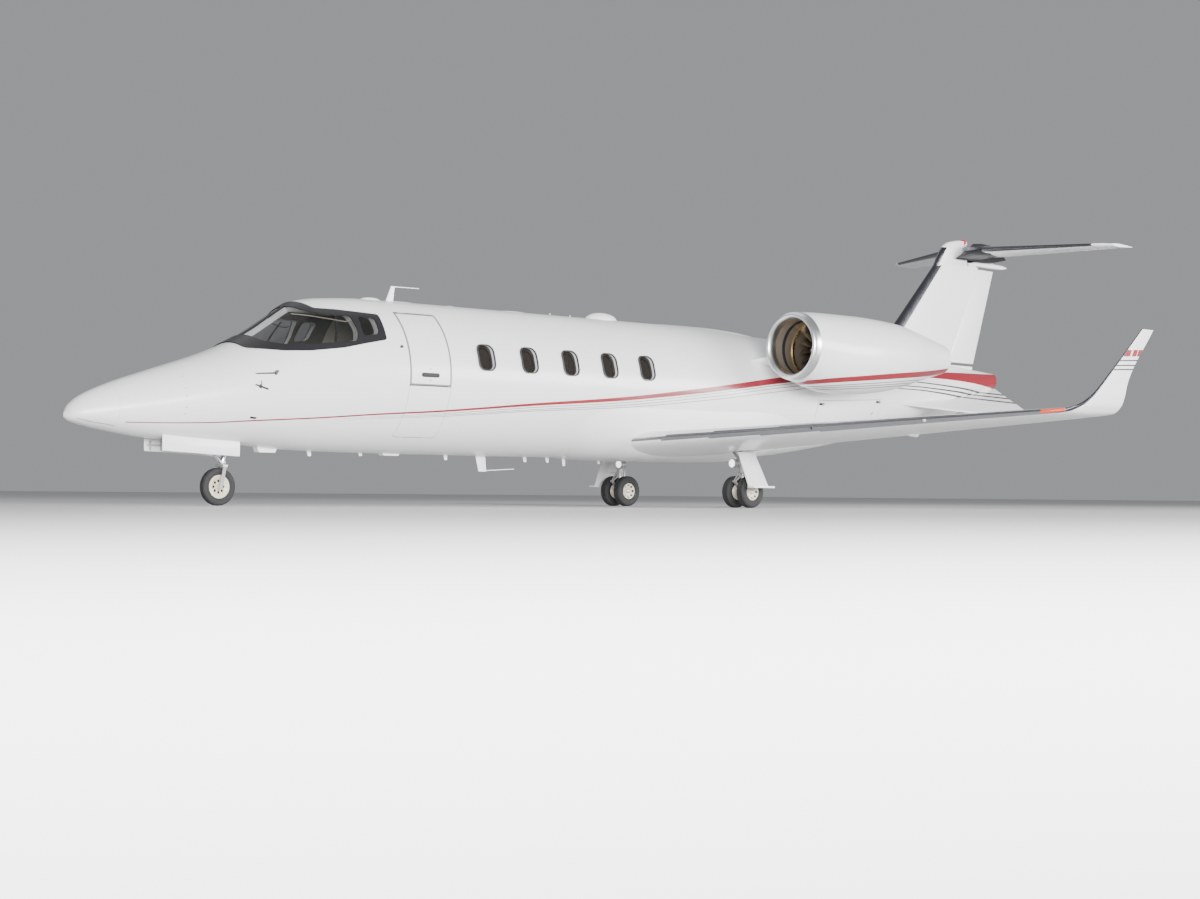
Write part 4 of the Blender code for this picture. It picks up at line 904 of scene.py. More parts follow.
for station in BAG_KNUCKLES:
    share = (station - bag_front) / (bag_rear - bag_front)
    edge_z = bag_low_front + (bag_low_rear - bag_low_front) * share
    edge_y = skin_at(station, edge_z).y
    hinges.append(box((along(station), edge_y + 0.004, edge_z + 0.004),
                      (along(station + 0.06), edge_y + 0.023, edge_z + 0.020)))
add("baggage_knuckles", gather(*hinges), edge_metal, "baggage_leaf", "gear_metal")

# Belly fairing
# A glass-fibre tub that hides the wing's spar where it passes under the cabin. Its front edge
# fades into the skin in a long curve.

# Station, half width, height of its upper edge, bottom and how square its section is
BELLY = (
    (6.95, 0.870, 1.410, 0.735, 2.0),
    (7.35, 0.905, 1.410, 0.668, 2.3),
    (7.80, 0.922, 1.410, 0.644, 2.8),
    (8.50, 0.926, 1.410, 0.638, 3.2),
    (10.20, 0.926, 1.410, 0.650, 3.2),
    (10.75, 0.908, 1.420, 0.695, 3.0),
    (11.20, 0.865, 1.450, 0.775, 2.5),
    (11.64, 0.780, 1.480, 0.930, 2.0),
)
BELLY_ROWS, BELLY_SIDES = 120, 90


def belly_point(row, side):
    """Point of the fairing: rows run aft, and sides from one edge under the belly to the other."""
    station = BELLY[0][0] + (BELLY[-1][0] - BELLY[0][0]) * row / BELLY_ROWS
    half, edge, bottom, power = (smooth(BELLY, station, column) for column in (1, 2, 3, 4))
    angle = math.pi * side / BELLY_SIDES
    out = half * math.copysign(abs(math.cos(angle)) ** (2 / power), math.cos(angle))
    down = (edge - bottom) * math.sin(angle) ** (2 / power)
    return Vector((along(station), out, edge - down))


add("belly_fairing_skin", sleeve(BELLY_ROWS, BELLY_SIDES, belly_point, closed=False),
    white_paint, "airframe", "white_paint", "belly_fairing")

# Wings
# One light-alloy wing box with a polished bare leading edge, swept back and turned up at the tip
# into a winglet. The flap, aileron and spoiler lie in their own cut-outs.

# Distance out, station and height of the leading edge and of the trailing edge, thickness as a
# share of the chord and lean in degrees
WING = (
    (0.50, 7.850, 0.8950, 10.550, 0.8120, 0.125, 4),
    (1.20, 8.140, 0.9380, 10.630, 0.8620, 0.115, 4),
    (5.95, 10.089, 1.2465, 11.2666, 1.2156, 0.0905, 4),
    (6.05, 10.130, 1.2530, 11.280, 1.2230, 0.090, 4),
    (6.22, 10.270, 1.2750, 11.310, 1.2500, 0.085, 15),
    (6.33, 10.420, 1.3450, 11.310, 1.3350, 0.080, 45),
    (6.39, 10.580, 1.4600, 11.300, 1.4550, 0.080, 68),
    (6.44, 10.730, 1.6200, 11.285, 1.6200, 0.080, 76),
    (6.675, 11.240, 2.3000, 11.500, 2.3000, 0.080, 76),
)
# Inner end, outer end and where its hinge or its front and rear lie, as shares of the chord
FLAP = (1.02, 3.86, 0.77)
AILERON = (3.92, 5.86, 0.77)
SPOILER = (2.05, 3.50, 0.57, 0.70)
SPOILER_THICK = 0.016
HINGE_GAP, HINGE_FILL = 0.007, 0.97
# Stations, distances out and roof of the slot over the main leg
GEAR_SLOT = ((9.52, 9.90), (0.98, 1.42), 0.878)
WING_OUTS = (
    [0.50, 0.75] + [1.00 + 0.07 * k for k in range(20)] + [2.50 + 0.25 * k for k in range(14)]
    + [5.95 + 0.0225 * k for k in range(13)] + [6.24 + 0.0133 * k for k in range(15)]
    + [6.44 + 0.0235 * k for k in range(11)]
)
CHORD_STEPS = 26
LAST_STEP = 2 * CHORD_STEPS + 1
# The bare edge's width at its inner end and how much it grows per metre, and where it takes the
# darker metal of painted reflection
EDGE_WIDTH, EDGE_START, EDGE_GROWTH, WINGLET_START = 0.008, 1.0, 0.030, 6.1
# The winglet's red blocks, as shares of its chord, and its lines, all on a slope with its chord
WINGLET_OUT, WINGLET_MIDDLE, WINGLET_SLOPE = 6.3, 11.15, 0.055
WINGLET_CHORD = (11.015, 11.405)
WINGLET_BLOCKS = ((0.0, 0.33), (0.43, 0.70), (0.73, 0.98))
WINGLET_BAND = (1.955, 2.037)
WINGLET_LINES, LINE_HALF = (1.905, 1.845, 1.795), 0.009


def foil_half(fraction, ratio):
    """Half thickness of a section, as a share of its chord."""
    root = math.sqrt(fraction)
    curve = 0.2969 * root - 0.126 * fraction - 0.3516 * fraction ** 2
    curve += 0.2843 * fraction ** 3 - 0.1036 * fraction ** 4
    return 5 * ratio * curve + 0.002 * fraction


def foil_point(front, rear, ratio, up, step):
    """Point of a section: steps run from the nose over the top to the tail and back below."""
    above = step <= CHORD_STEPS
    share = step / CHORD_STEPS if above else (LAST_STEP - step) / CHORD_STEPS
    fraction = share ** 1.8
    rise = foil_half(fraction, ratio) * (rear - front).length
    return front.lerp(rear, fraction) + up * (rise if above else -rise)


def foil_loft(name, sections, *finishes, band=0):
    """Closed surface through sections, with its nose band in a second finish."""
    def place(row, step):
        return foil_point(*sections[row], step)

    shape = sleeve(len(sections) - 1, LAST_STEP, place, closed=False)
    if band:
        steps = [*range(band + 1), *range(LAST_STEP - band, LAST_STEP + 1)]
        limits = {
            tuple(round(v, 5) for v in place(row, step))
            for row in range(len(sections)) for step in steps
        }
        for face in shape.faces:
            corners = [tuple(round(v, 5) for v in vert.co) for vert in face.verts]
            if all(corner in limits for corner in corners):
                face.material_index = 1
    bmesh.ops.remove_doubles(shape, verts=shape.verts, dist=0.00001)
    cap(shape)
    return put(name, shape, *finishes)


def wing_section(out):
    """Leading and trailing edge points, thickness and upright of the left wing's section."""
    front_s, front_z, rear_s, rear_z, ratio, lean = (
        smooth(WING, out, column) for column in range(1, 7)
    )
    tilt = math.radians(lean)
    return (
        Vector((along(front_s), -out, front_z)), Vector((along(rear_s), -out, rear_z)), ratio,
        Vector((0.0, math.sin(tilt), math.cos(tilt))),
    )


def hinge_frame(point, rear_point, axis):
    """Directions aft and up at a hinge, square to its axis, and how far its surface reaches aft."""
    aft = rear_point - point
    aft -= aft.dot(axis) * axis
    length = aft.length
    aft.normalize()
    return aft, aft.cross(axis).normalized(), length


def hinge_room(ends, level=None):
    """Room for a hinged surface, from what hinge_end says of its two ends."""
    axis = (ends[1][0] - ends[0][0]).normalized()
    corners = []
    for number, (point, rear_point, half) in enumerate(ends):
        aft, up, length = hinge_frame(point, rear_point, axis)
        apart = axis * HINGE_GAP * (1 if number else -1)
        ahead, behind, tall = -(half + HINGE_GAP) * aft, (length + 0.3) * aft, 0.5 * up
        limits = [ahead - tall, behind - tall, behind + tall, ahead + tall]
        if level:
            apart *= 8
            limits = [p - axis * (p.dot(level) / axis.dot(level)) for p in limits]
        corners += [point + apart + limit for limit in limits]
    return hull(corners)


def hinge_end(section, fraction):
    """Hinge point in a section, its trailing edge point and its half thickness at the hinge."""
    front_point, rear_point, ratio, _ = section
    half = foil_half(fraction, ratio) * (rear_point - front_point).length
    return front_point.lerp(rear_point, fraction), rear_point, half * HINGE_FILL


def upper_skin(out, fraction, sink):
    """Point below the wing's upper skin, at a share of the chord."""
    front_point, rear_point, ratio, _ = wing_section(out)
    up = foil_half(fraction, ratio) * (rear_point - front_point).length - sink
    return front_point.lerp(rear_point, fraction) + Vector((0.0, 0.0, up))


def other_side(shape):
    """The same shape for the aircraft's right side."""
    bmesh.ops.scale(shape, verts=shape.verts, vec=(1.0, -1.0, 1.0))
    bmesh.ops.reverse_faces(shape, faces=shape.faces)
    return shape


def mirrored(piece, name):
    """Copy of a finished left-hand piece on the right side."""
    shape = bmesh.new()
    shape.from_mesh(piece.data)
    other = put(name, other_side(shape))
    for finish in piece.data.materials:
        other.data.materials.append(finish)
    return settle(other)


# A second, much darker copy of the polished edge metal: its darkness is a painted reflection of a
# dark sky. It goes on the wing's up-facing and winglet edge faces and on the fin's and tailplane's
# edges.
bare_edge_dark_reflection = Finish("bare_edge_dark_reflection", (0.14, 0.14, 0.155), Metallic=1.0)
bare_edge_dark_reflection.set("Roughness", bare_edge_dark_reflection.noise(9.0, 4.0) * 0.12 + 0.16)
wing_edge = Finish("wing_edge", (0.44, 0.45, 0.47), Metallic=1.0)
wing_edge.set("Roughness", wing_edge.noise(9.0, 4.0) * 0.12 + 0.14)
for metal in (wing_edge, bare_edge_dark_reflection):
    metal.bump(metal.noise(120.0, 2.0), 0.04, 0.0004)

wing_paint = Finish("wing_paint", WHITE, Coat_Weight=0.2, Coat_Roughness=0.15)
wing_place = wing_paint.place()
wing_station = wing_paint.axis(0, wing_place) + LENGTH / 2
level = wing_paint.axis(2, wing_place) - (wing_station - WINGLET_MIDDLE) * WINGLET_SLOPE
share = (wing_station - WINGLET_CHORD[0]) / (WINGLET_CHORD[1] - WINGLET_CHORD[0])
blocks = 0.0
for start, end in WINGLET_BLOCKS:
    blocks = (share > start) * (share < end) + blocks
outboard = abs(wing_paint.axis(1, wing_place)) > WINGLET_OUT
pinstripes = 0.0
for height in WINGLET_LINES:
    pinstripes = (abs(level - height) < LINE_HALF) + pinstripes
winglet = wing_paint.blend(pinstripes * outboard, orange_peel(wing_paint), (*STRIPE_DARK, 1.0))
blocks = (level > WINGLET_BAND[0]) * (level < WINGLET_BAND[1]) * blocks * outboard
wing_paint.set("Base Color", wing_paint.blend(blocks, winglet, (*STRIPE_RED, 1.0)))

wing = foil_loft(
    "wing_left_skin", [wing_section(out) for out in WING_OUTS], wing_paint.material,
    wing_edge.material, bare_edge_dark_reflection.material, band=5,
)
# Edge faces that face up, and those on the winglet, take the darker metal: a painted reflection of a
# dark sky.
for face in wing.data.polygons:
    out = -face.center.y
    behind = face.center.x - along(smooth(WING, out, 1))
    if face.material_index and behind > EDGE_WIDTH + EDGE_GROWTH * (out - EDGE_START):
        face.material_index = 0
    elif face.material_index and (face.normal.z > 0.62 or face.center.y < -WINGLET_START):
        face.material_index = 2
tools = [
    put("room", hinge_room([hinge_end(wing_section(out), fraction) for out in (inner, outer)]))
    for inner, outer, fraction in (FLAP, AILERON)
]
inner, outer, ahead, behind = SPOILER
tools.append(put("pocket", hull(
    upper_skin(out, fraction, sink)
    for out, fraction in ((inner, ahead), (outer, ahead), (outer, behind), (inner, behind))
    for sink in (-0.08, SPOILER_THICK + 0.010)
)))
(slot_front, slot_rear), (slot_in, slot_out), slot_top = GEAR_SLOT
tools.append(put("slot", box(
    (along(slot_front), -slot_out, UNDERNEATH), (along(slot_rear), -slot_in, slot_top)
)))
carve(wing, *tools)
wing_right = mirrored(wing, "wing_right_skin")
fit(wing, "airframe", "white_paint", "wing_left")
fit(wing_right, "airframe", "white_paint", "wing_right")

tick_white = Finish("edge_tick", (0.80, 0.80, 0.80), Roughness=0.5)
tick_white.set("Roughness", tick_white.noise(40.0, 2.0) * 0.2 + 0.4)
LENS_OUTS = (5.97, 6.03, 6.09, 6.15, 6.21)
LENS_STEPS = (3, 2, 1, 0, LAST_STEP, LAST_STEP - 1, LAST_STEP - 2, LAST_STEP - 3)
# Piece, distance out, length, height, half thickness and finish of what stands on the leading edge
FENCES = (
    ("stall_fence", 3.20, 0.085, 0.050, 0.003, frame_paint),
    ("edge_mark", 4.60, 0.014, 0.006, 0.012, tick_white),
)
# Number and distance out of the fairings over the flap's tracks, and their shape from the nose
TRACK_FAIRINGS = ((2, 1.90), (4, 3.70))
TRACK_PROFILE = ((0.0, 0.004), (0.06, 0.030), (0.14, 0.042), (0.24, 0.046), (0.26, 0.046))
for hand, side, glow in (("left", -1, (0.80, 0.06, 0.02)), ("right", 1, (0.02, 0.50, 0.12))):
    lens = Finish(f"position_lens_{hand}", glow, Coat_Weight=1.0, Coat_Roughness=0.02)
    lens.set("Roughness", lens.noise(20.0, 2.0) * 0.1 + 0.1)
    lens_shape = bmesh.new()
    rows = []
    for front_point, rear_point, ratio, up in map(wing_section, LENS_OUTS):
        ahead = (front_point - rear_point).normalized() * 0.0025
        row = []
        for step in LENS_STEPS:
            at = foil_point(front_point, rear_point, ratio, up, step)
            drift = up * (0.002 if step <= CHORD_STEPS else -0.002)
            row.append(at + ahead + (drift if step else Vector()))
        row.append(front_point.lerp(rear_point, 0.04))
        rows.append([lens_shape.verts.new(at) for at in row])
    for one, two in zip(rows, rows[1:]):
        for k in range(len(one)):
            n = (k + 1) % len(one)
            lens_shape.faces.new((one[k], one[n], two[n], two[k]))
    cap(lens_shape)
    if side > 0:
        other_side(lens_shape)
    add(f"position_light_{hand}", lens_shape, lens, "airframe", "tinted_glass", angle=50)
    for name, out, length, tall, half, finish in FENCES:
        front_point = wing_section(out)[0]
        at = Vector((front_point.x, side * out, front_point.z))
        fence = hull(
            at + Vector((dx, dy, dz))
            for dx, dz in ((-0.030, -0.004), (length, tall), (length, -0.02), (0.0, -0.03))
            for dy in (-half, half)
        )
        add(f"{name}_{hand}", fence, finish, "airframe", "dark_trim")
    for number, out in TRACK_FAIRINGS:
        front_point, rear_point, _, _ = wing_section(out)
        chord = rear_point.x - front_point.x
        start = Vector((front_point.x + 0.60 * chord, side * out, front_point.z - 0.078))
        fairing = turned(TRACK_PROFILE, start, rear_point - front_point, 24)
        add(f"track_fairing_{hand}_{number}", fairing, white_paint, "airframe", "white_paint")


def from_cad(node, name, finish, chamfer=0.0, segments=2, angle=35):
    """A CAD node's own solid, merged from its loose triangles, with eased edges."""
    shape = bmesh.new()
    shape.from_mesh(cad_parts[node].data)
    bmesh.ops.remove_doubles(shape, verts=shape.verts, dist=0.00002)
    bmesh.ops.dissolve_limit(
        shape, angle_limit=math.radians(0.6), verts=shape.verts, edges=shape.edges
    )
    if chamfer:
        sharp = [e for e in shape.edges if e.is_manifold and e.calc_face_angle(0.0) > 0.6]
        bmesh.ops.bevel(
            shape, geom=sharp, affect="EDGES", offset=chamfer, segments=segments, profile=0.5,
            clamp_overlap=True, material=-1,
        )
    return settle(put(name, shape, finish), angle)


for hand in ("left", "right"):
    for kind in ("flap", "aileron", "spoiler"):
        node = f"{kind}_{hand}"
        fit(from_cad(node, f"{node}_skin", white_paint.material, 0.0012), f"{hand}_{kind}",
            "white_paint", node)

# Fin and rudder
# The swept light-alloy fin carries a metal leading edge like the wing's, a rounded top, a beacon
# and a pointed bullet with the pin that the tailplane turns on. The rudder turns behind it.

# Height, station of the leading and trailing edge and thickness as a share of the chord
FIN = ((2.10, 13.71, 16.49, 0.080), (4.02, 15.58, 17.14, 0.080))
FIN_CAP = (
    (3.96, 15.52, 16.42, 0.110),
    (4.26, 15.72, 16.42, 0.180),
    (4.37, 15.87, 16.42, 0.200),
    (4.425, 16.10, 16.42, 0.240),
)
RUDDER = (2.40, 3.985, 0.73)
CAP_EDGE_TOP = 4.28
BULLET_NOSE, BULLET_HEIGHT = 16.50, 4.075
# Stations, half width and foot of the bullet's neck, and stations and half width of the pin's post
BULLET_NECK = ((16.44, 16.63), 0.028, 3.98)
PIN_POST = ((17.085, 17.115), 0.012)
TAIL_BULLET = ((16.50, 0.010), (16.62, 0.036), (17.10, 0.043), (17.36, 0.036), (17.50, 0.012))
# Station and height of the tailplane's pin, its half length and radius, and the beacon's foot
PIVOT, PIN_HALF, PIN_RADIUS = (17.10, 4.205), 0.093, 0.010
BEACON = (16.33, 4.360)
BEACON_PROFILE = (
    (0.0, 0.045), (0.018, 0.045), (0.020, 0.040), (0.060, 0.038), (0.088, 0.028), (0.108, 0.010),
)


def fin_sections(rows, heights):
    """Level sections of the fin or its cap at some heights."""
    sections = []
    for height in heights:
        front_s, rear_s, ratio = (smooth(rows, height, column) for column in (1, 2, 3))
        sections.append((
            Vector((along(front_s), 0.0, height)), Vector((along(rear_s), 0.0, height)), ratio,
            Vector((0.0, 1.0, 0.0)),
        ))
    return sections


# The fin's leading edge band takes the darker metal, a painted dark reflection.
fin = foil_loft(
    "fin_skin", fin_sections(FIN, [2.10 + 0.12 * k for k in range(17)]), white_paint.material,
    bare_edge_dark_reflection.material, band=7,
)
carve(fin, put("rudder_room", hinge_room(
    [hinge_end(section, RUDDER[2]) for section in fin_sections(FIN, RUDDER[:2])],
    Vector((0.0, 0.0, 1.0)),
)))
fit(fin, "airframe", "white_paint", "fin")
# The cap's edge band below its top takes the same darker metal, a painted dark reflection.
fin_cap = foil_loft(
    "fin_cap", fin_sections(FIN_CAP, [3.96 + 0.0155 * k for k in range(31)]),
    white_paint.material, bare_edge_dark_reflection.material, band=8,
)
for face in fin_cap.data.polygons:
    if face.center.z > CAP_EDGE_TOP:
        face.material_index = 0
fit(settle(fin_cap), "airframe", "white_paint")
pivot_s, pivot_z = PIVOT
(neck_front, neck_rear), neck_half, neck_foot = BULLET_NECK
(post_front, post_rear), post_half = PIN_POST
tail_bullet = gather(
    turned([(station - BULLET_NOSE, radius) for station, radius in TAIL_BULLET],
           (along(BULLET_NOSE), 0.0, BULLET_HEIGHT)),
    box((along(neck_front), -neck_half, neck_foot),
        (along(neck_rear), neck_half, BULLET_HEIGHT)),
    box((along(post_front), -post_half, BULLET_HEIGHT), (along(post_rear), post_half, pivot_z)),
    rod((along(pivot_s), -PIN_HALF, pivot_z), (along(pivot_s), PIN_HALF, pivot_z), PIN_RADIUS),
)
add("tail_bullet", tail_bullet, white_paint, "airframe", "white_paint")
beacon_red = Finish("beacon_lens", (0.55, 0.02, 0.015), Coat_Weight=1.0, Coat_Roughness=0.03)
beacon_red.set("Roughness", beacon_red.noise(30.0, 2.0) * 0.1 + 0.08)
beacon = turned(BEACON_PROFILE, (along(BEACON[0]), 0.0, BEACON[1]), (0.0, 0.0, 1.0))
add("beacon", beacon, beacon_red, "airframe", "tinted_glass")
fit(from_cad("rudder", "rudder_skin", white_paint.material, 0.0012), "rudder_body",
    "white_paint", "rudder")

# Tailplane and elevators
# The whole light-alloy tailplane tilts to trim the aircraft. It has metal leading edges, pale
# tips, the elevators along its rear, and a dark plate and root fairing at each side of the fin.

# Distance out, station of the leading and trailing edge, height and thickness as a share of chord
TAILPLANE = (
    (0.000, 15.95, 17.38, 4.255, 0.105),
    (0.120, 16.02, 17.39, 4.256, 0.105),
    (2.080, 17.10, 17.80, 4.280, 0.090),
    (2.240, 17.30, 17.88, 4.282, 0.080),
)
ELEVATOR = (0.280, 2.060, 0.72)
ROOT_PLATE = ((15.99, 4.105), (16.48, 4.385), (17.20, 4.320), (17.36, 4.190), (16.95, 4.110))
# How far from the middle the plate lies
ROOT_PLATE_Y = (0.094, 0.108)
# Distance out of each section of the root fairing, and its outline
ROOT_WEDGE = (
    (0.107, ((16.00, 4.115), (16.45, 4.395), (17.00, 4.335), (16.95, 4.200), (16.60, 4.125))),
    (0.260, ((16.10, 4.190), (16.48, 4.385), (17.00, 4.320), (16.90, 4.225), (16.50, 4.170))),
    (0.480, ((16.21, 4.256), (16.45, 4.325), (16.85, 4.296), (16.85, 4.225), (16.42, 4.200))),
)


def tail_section(out):
    """Section of the tailplane, where out is negative on the right side."""
    reach = abs(out)
    for inner_row, outer_row in zip(TAILPLANE, TAILPLANE[1:]):
        if inner_row[0] <= reach <= outer_row[0]:
            break
    t = (reach - inner_row[0]) / (outer_row[0] - inner_row[0])
    _, front_s, rear_s, z, ratio = (a + (b - a) * t for a, b in zip(inner_row, outer_row))
    return (
        Vector((along(front_s), -out, z)), Vector((along(rear_s), -out, z)), ratio,
        Vector((0.0, 0.0, 1.0)),
    )


PALE_TIP = 2.0
# Station of the leading edge at the middle and its sweep, and how far behind it and how far out
# the root is dark
ROOT_EDGE, ROOT_SWEEP, ROOT_DARK, ROOT_REACH = 15.95, 0.574, 0.95, 0.50
# Rear station and half width of what is cut off for the fin's cap, and of the blunt root behind it
CAP_ROOM = (16.45, ROOT_PLATE_Y[0])
ROOT_FRONT = (16.22, 0.47)
tail_outs = [0.0, 0.04, 0.08, 0.12, 0.16, 0.2, 0.24, 0.28, 0.32, 0.36, 0.4, 0.44, 0.5, 0.6, 1.0,
             1.4, 1.8, PALE_TIP, 2.08, 2.14, 2.19, 2.24]
# The tailplane's leading edge band takes the darker metal, a painted dark reflection.
tailplane = foil_loft(
    "tailplane_skin", [tail_section(-out) for out in tail_outs[:0:-1]]
    + [tail_section(out) for out in tail_outs], white_paint.material, bare_edge_dark_reflection.material, band=6,
)
elevator_ends = [hinge_end(tail_section(out), ELEVATOR[2]) for out in ELEVATOR[:2]]
carve(
    tailplane, put("room_left", hinge_room(elevator_ends)),
    put("room_right", other_side(hinge_room(elevator_ends))),
    *(put("root_room", box((along(15.3), -half, 3.9), (along(rear_s), half, 4.7)))
      for rear_s, half in (CAP_ROOM, ROOT_FRONT)),
)
for face in tailplane.data.polygons:
    reach = abs(face.center.y)
    root_edge = ROOT_EDGE + ROOT_SWEEP * reach + ROOT_DARK * max(0.0, 1.0 - reach / ROOT_REACH)
    if reach > PALE_TIP:
        face.material_index = 0
    elif face.center.x < along(root_edge) and reach < ROOT_REACH:
        face.material_index = 1
fit(tailplane, "stabiliser", "white_paint", "tailplane")
for hand, side in (("left", -1), ("right", 1)):
    plate = slab(ROOT_PLATE, *across(side, *ROOT_PLATE_Y), 0.01, 2)
    add(f"root_plate_{hand}", plate, frame_paint, "stabiliser", "white_paint")
    wedge = hull(
        (along(station), side * reach, z) for reach, outline in ROOT_WEDGE for station, z in outline
    )
    add(f"root_fairing_{hand}", wedge, frame_paint, "stabiliser", "dark_trim", angle=50)
    node = f"elevator_{hand}"
    fit(from_cad(node, f"{node}_skin", white_paint.material, 0.0010), f"{hand}_elevator",
        "white_paint", node)

# Delta fins
# Two fixed panels of composite sheet slope down and out below the tail cone, white with dark
# lines. Their wide faces are divided finely, because the lines follow marks on the mesh.

for hand in ("left", "right"):
    node = f"delta_fin_{hand}"
    panel = from_cad(node, f"{node}_skin", livery_paint.material, 0.008, 3)
    close = bmesh.new()
    close.from_mesh(panel.data)
    bmesh.ops.triangulate(close, faces=close.faces)
    bmesh.ops.subdivide_edges(close, edges=close.edges, cuts=7, use_grid_fill=True)
    close.to_mesh(panel.data)
    close.free()
    fit(rule_stripe(settle(panel, 25)), "airframe", "white_paint", node)

# Engine pods
# Each pod is a smooth white cowling on a short pylon, with a polished inlet lip, a dark duct and
# the fan just inside. The red stripe of the fuselage runs on along its lower side.

POD_Y = 1.530
# Station, height and radius of the outside, then height and radius of the duct
POD = (
    (10.50, 2.288, 0.488, 2.288, 0.388),
    (10.75, 2.258, 0.528, 2.262, 0.392),
    (10.90, 2.240, 0.548, 2.255, 0.400),
    (11.15, 2.222, 0.567, 2.255, 0.400),
    (11.60, 2.218, 0.570, 2.255, 0.470),
    (12.20, 2.230, 0.535, 2.255, 0.470),
    (12.70, 2.248, 0.470, 2.256, 0.425),
    (13.20, 2.262, 0.352, 2.262, 0.330),
    (13.50, 2.265, 0.282, 2.265, 0.264),
    (13.75, 2.265, 0.225, 2.265, 0.212),
)
POD_SIDES = 96
POD_SKIN = 0.004
# The stripe on the pod, with the same columns as STRIPE
POD_STRIPE = (
    (10.50, 1.765, 0.030, 0.060, 0.085, 0.110, 0.006),
    (10.90, 1.811, 0.034, 0.075, 0.100, 0.125, 0.006),
    (11.40, 1.857, 0.036, 0.080, 0.110, 0.140, 0.006),
    (12.05, 1.916, 0.040, 0.085, 0.120, 0.150, 0.006),
    (13.30, 2.030, 0.041, 0.085, 0.120, 0.150, 0.006),
    (13.75, 2.085, 0.041, 0.085, 0.120, 0.150, 0.006),
)
LIP_FRONT, LIP_AFT = 10.37, 10.4995
# Distance out, station of the leading and trailing edge, height and thickness as a share of chord
PYLON = ((0.50, 9.98, 13.55, 2.040, 0.055), (1.45, 10.95, 13.20, 2.225, 0.080))


def ring_of(profile, sides):
    """Closed ring round the left pod, from a closed profile of station, height and radius."""
    def place(row, side):
        station, height, radius = profile[row % len(profile)]
        angle = 2 * math.pi * side / sides
        return Vector((
            along(station), -POD_Y + radius * math.cos(angle), height + radius * math.sin(angle)
        ))

    return sleeve(len(profile), sides, place)


duct_grey = Finish("duct_liner", (0.40, 0.34, 0.27), Metallic=0.75, Roughness=0.38)
duct_grey.bump(duct_grey.noise(180.0, 2.0), 0.1, 0.0004)
POD_STEPS = 46
pod_front, pod_rear = POD[0][0], POD[-1][0]
pod_rows = [pod_front + (pod_rear - pod_front) * k / POD_STEPS for k in range(POD_STEPS + 1)]
pod_profile = [(s, smooth(POD, s, 1), smooth(POD, s, 2)) for s in pod_rows]
pod_profile += [(s, smooth(POD, s, 3), smooth(POD, s, 4)) for s in pod_rows[::-1]]
pod = put("nacelle_left_skin", ring_of(pod_profile, POD_SIDES), livery_paint.material,
          duct_grey.material)
for face in pod.data.polygons:
    station = face.center.x + LENGTH / 2
    middle = (smooth(POD, station, 1) + smooth(POD, station, 3)) / 2
    reach = math.hypot(face.center.y + POD_Y, face.center.z - middle)
    if reach < (smooth(POD, station, 2) + smooth(POD, station, 4)) / 2:
        face.material_index = 1
rule_stripe(settle(pod), POD_STRIPE)


def pod_solid(row, side):
    """Point of the pod's outer skin, a little inside it, for cutting the pylon to fit."""
    station, height, radius = pod_profile[row]
    angle = 2 * math.pi * side / POD_SIDES
    return Vector((
        along(station), -POD_Y + (radius - POD_SKIN) * math.cos(angle),
        height + (radius - POD_SKIN) * math.sin(angle),
    ))


polished = Finish("polished_lip", (0.74, 0.75, 0.76), Metallic=1.0)
polished.set("Roughness", polished.noise(12.0, 4.0) * 0.12 + 0.26)
polished.bump(polished.noise(90.0, 2.0), 0.03, 0.0004)
_, lip_height, lip_outside, _, lip_inside = POD[0]
lip_middle, lip_swell = (lip_outside + lip_inside) / 2, (lip_outside - lip_inside) / 2
lip_profile = []
for k in range(20):
    angle = math.pi / 2 - math.pi * k / 19
    lip_profile.append((
        LIP_AFT - (LIP_AFT - LIP_FRONT) * max(0.0, math.cos(angle)) ** 0.8, lip_height,
        lip_middle + lip_swell * math.sin(angle),
    ))
lip = settle(put("inlet_lip_left_skin", ring_of(lip_profile, POD_SIDES), polished.material), 60)
pylon_sections = []
for out, front_s, rear_s, z, ratio in PYLON:
    pylon_sections.append((
        Vector((along(front_s), -out, z)), Vector((along(rear_s), -out, z)), ratio,
        Vector((0.0, 0.0, 1.0)),
    ))
pylon = settle(foil_loft("pylon_left_skin", pylon_sections, white_paint.material))
carve(pylon, put("pod_room", cap(sleeve(POD_STEPS, POD_SIDES, pod_solid))))
for left, node, slot in (
    (pod, "nacelle", "white_paint"), (lip, "inlet_lip", "polished_lip"),
    (pylon, "pylon", "white_paint"),
):
    right = mirrored(left, left.name.replace("left", "right"))
    fit(left, "airframe", slot, f"{node}_left")
    fit(right, "airframe", slot, f"{node}_right")

gold = Finish("fan_case_ring", (0.55, 0.41, 0.20), Metallic=1.0)
gold.set("Roughness", gold.noise(50.0, 2.0) * 0.1 + 0.22)
# Front and rear station of each ring in the duct, how far it stands in from the wall and its finish
DUCT_RINGS = (
    ("fan_case_ring", 10.855, 10.900, 0.011, gold),
    ("liner_gap", 10.640, 10.700, 0.0015, frame_paint),
)
for label, first, last, stand, finish in DUCT_RINGS:
    rows = [(station, smooth(POD, station, 3), smooth(POD, station, 4) + step)
            for station, step in ((first, 0.002), (first, -stand), (last, -stand), (last, 0.002))]
    ring = settle(put(f"{label}_left", ring_of(rows, POD_SIDES), finish.material))
    for piece in (ring, mirrored(ring, f"{label}_right")):
        fit(piece, "airframe", "engine_metal")

titanium = Finish("fan_titanium", (0.36, 0.32, 0.27), Metallic=1.0)
titanium.set("Roughness", titanium.noise(30.0, 3.0) * 0.15 + 0.28)
for hand in ("left", "right"):
    fit(from_cad(f"fan_{hand}", f"fan_{hand}_blades", titanium.material), f"fan_rotor_{hand}",
        "engine_metal", f"fan_{hand}")
    fit(from_cad(f"engine_{hand}", f"engine_{hand}_core", duct_grey.material), "airframe",
        "engine_metal", f"engine_{hand}")

# Floor and instrument panel
# Honeycomb floor panels lie on the fuselage's beams under a wool carpet and carry the chairs. A
# black board for the instruments stands ahead of the pilots.

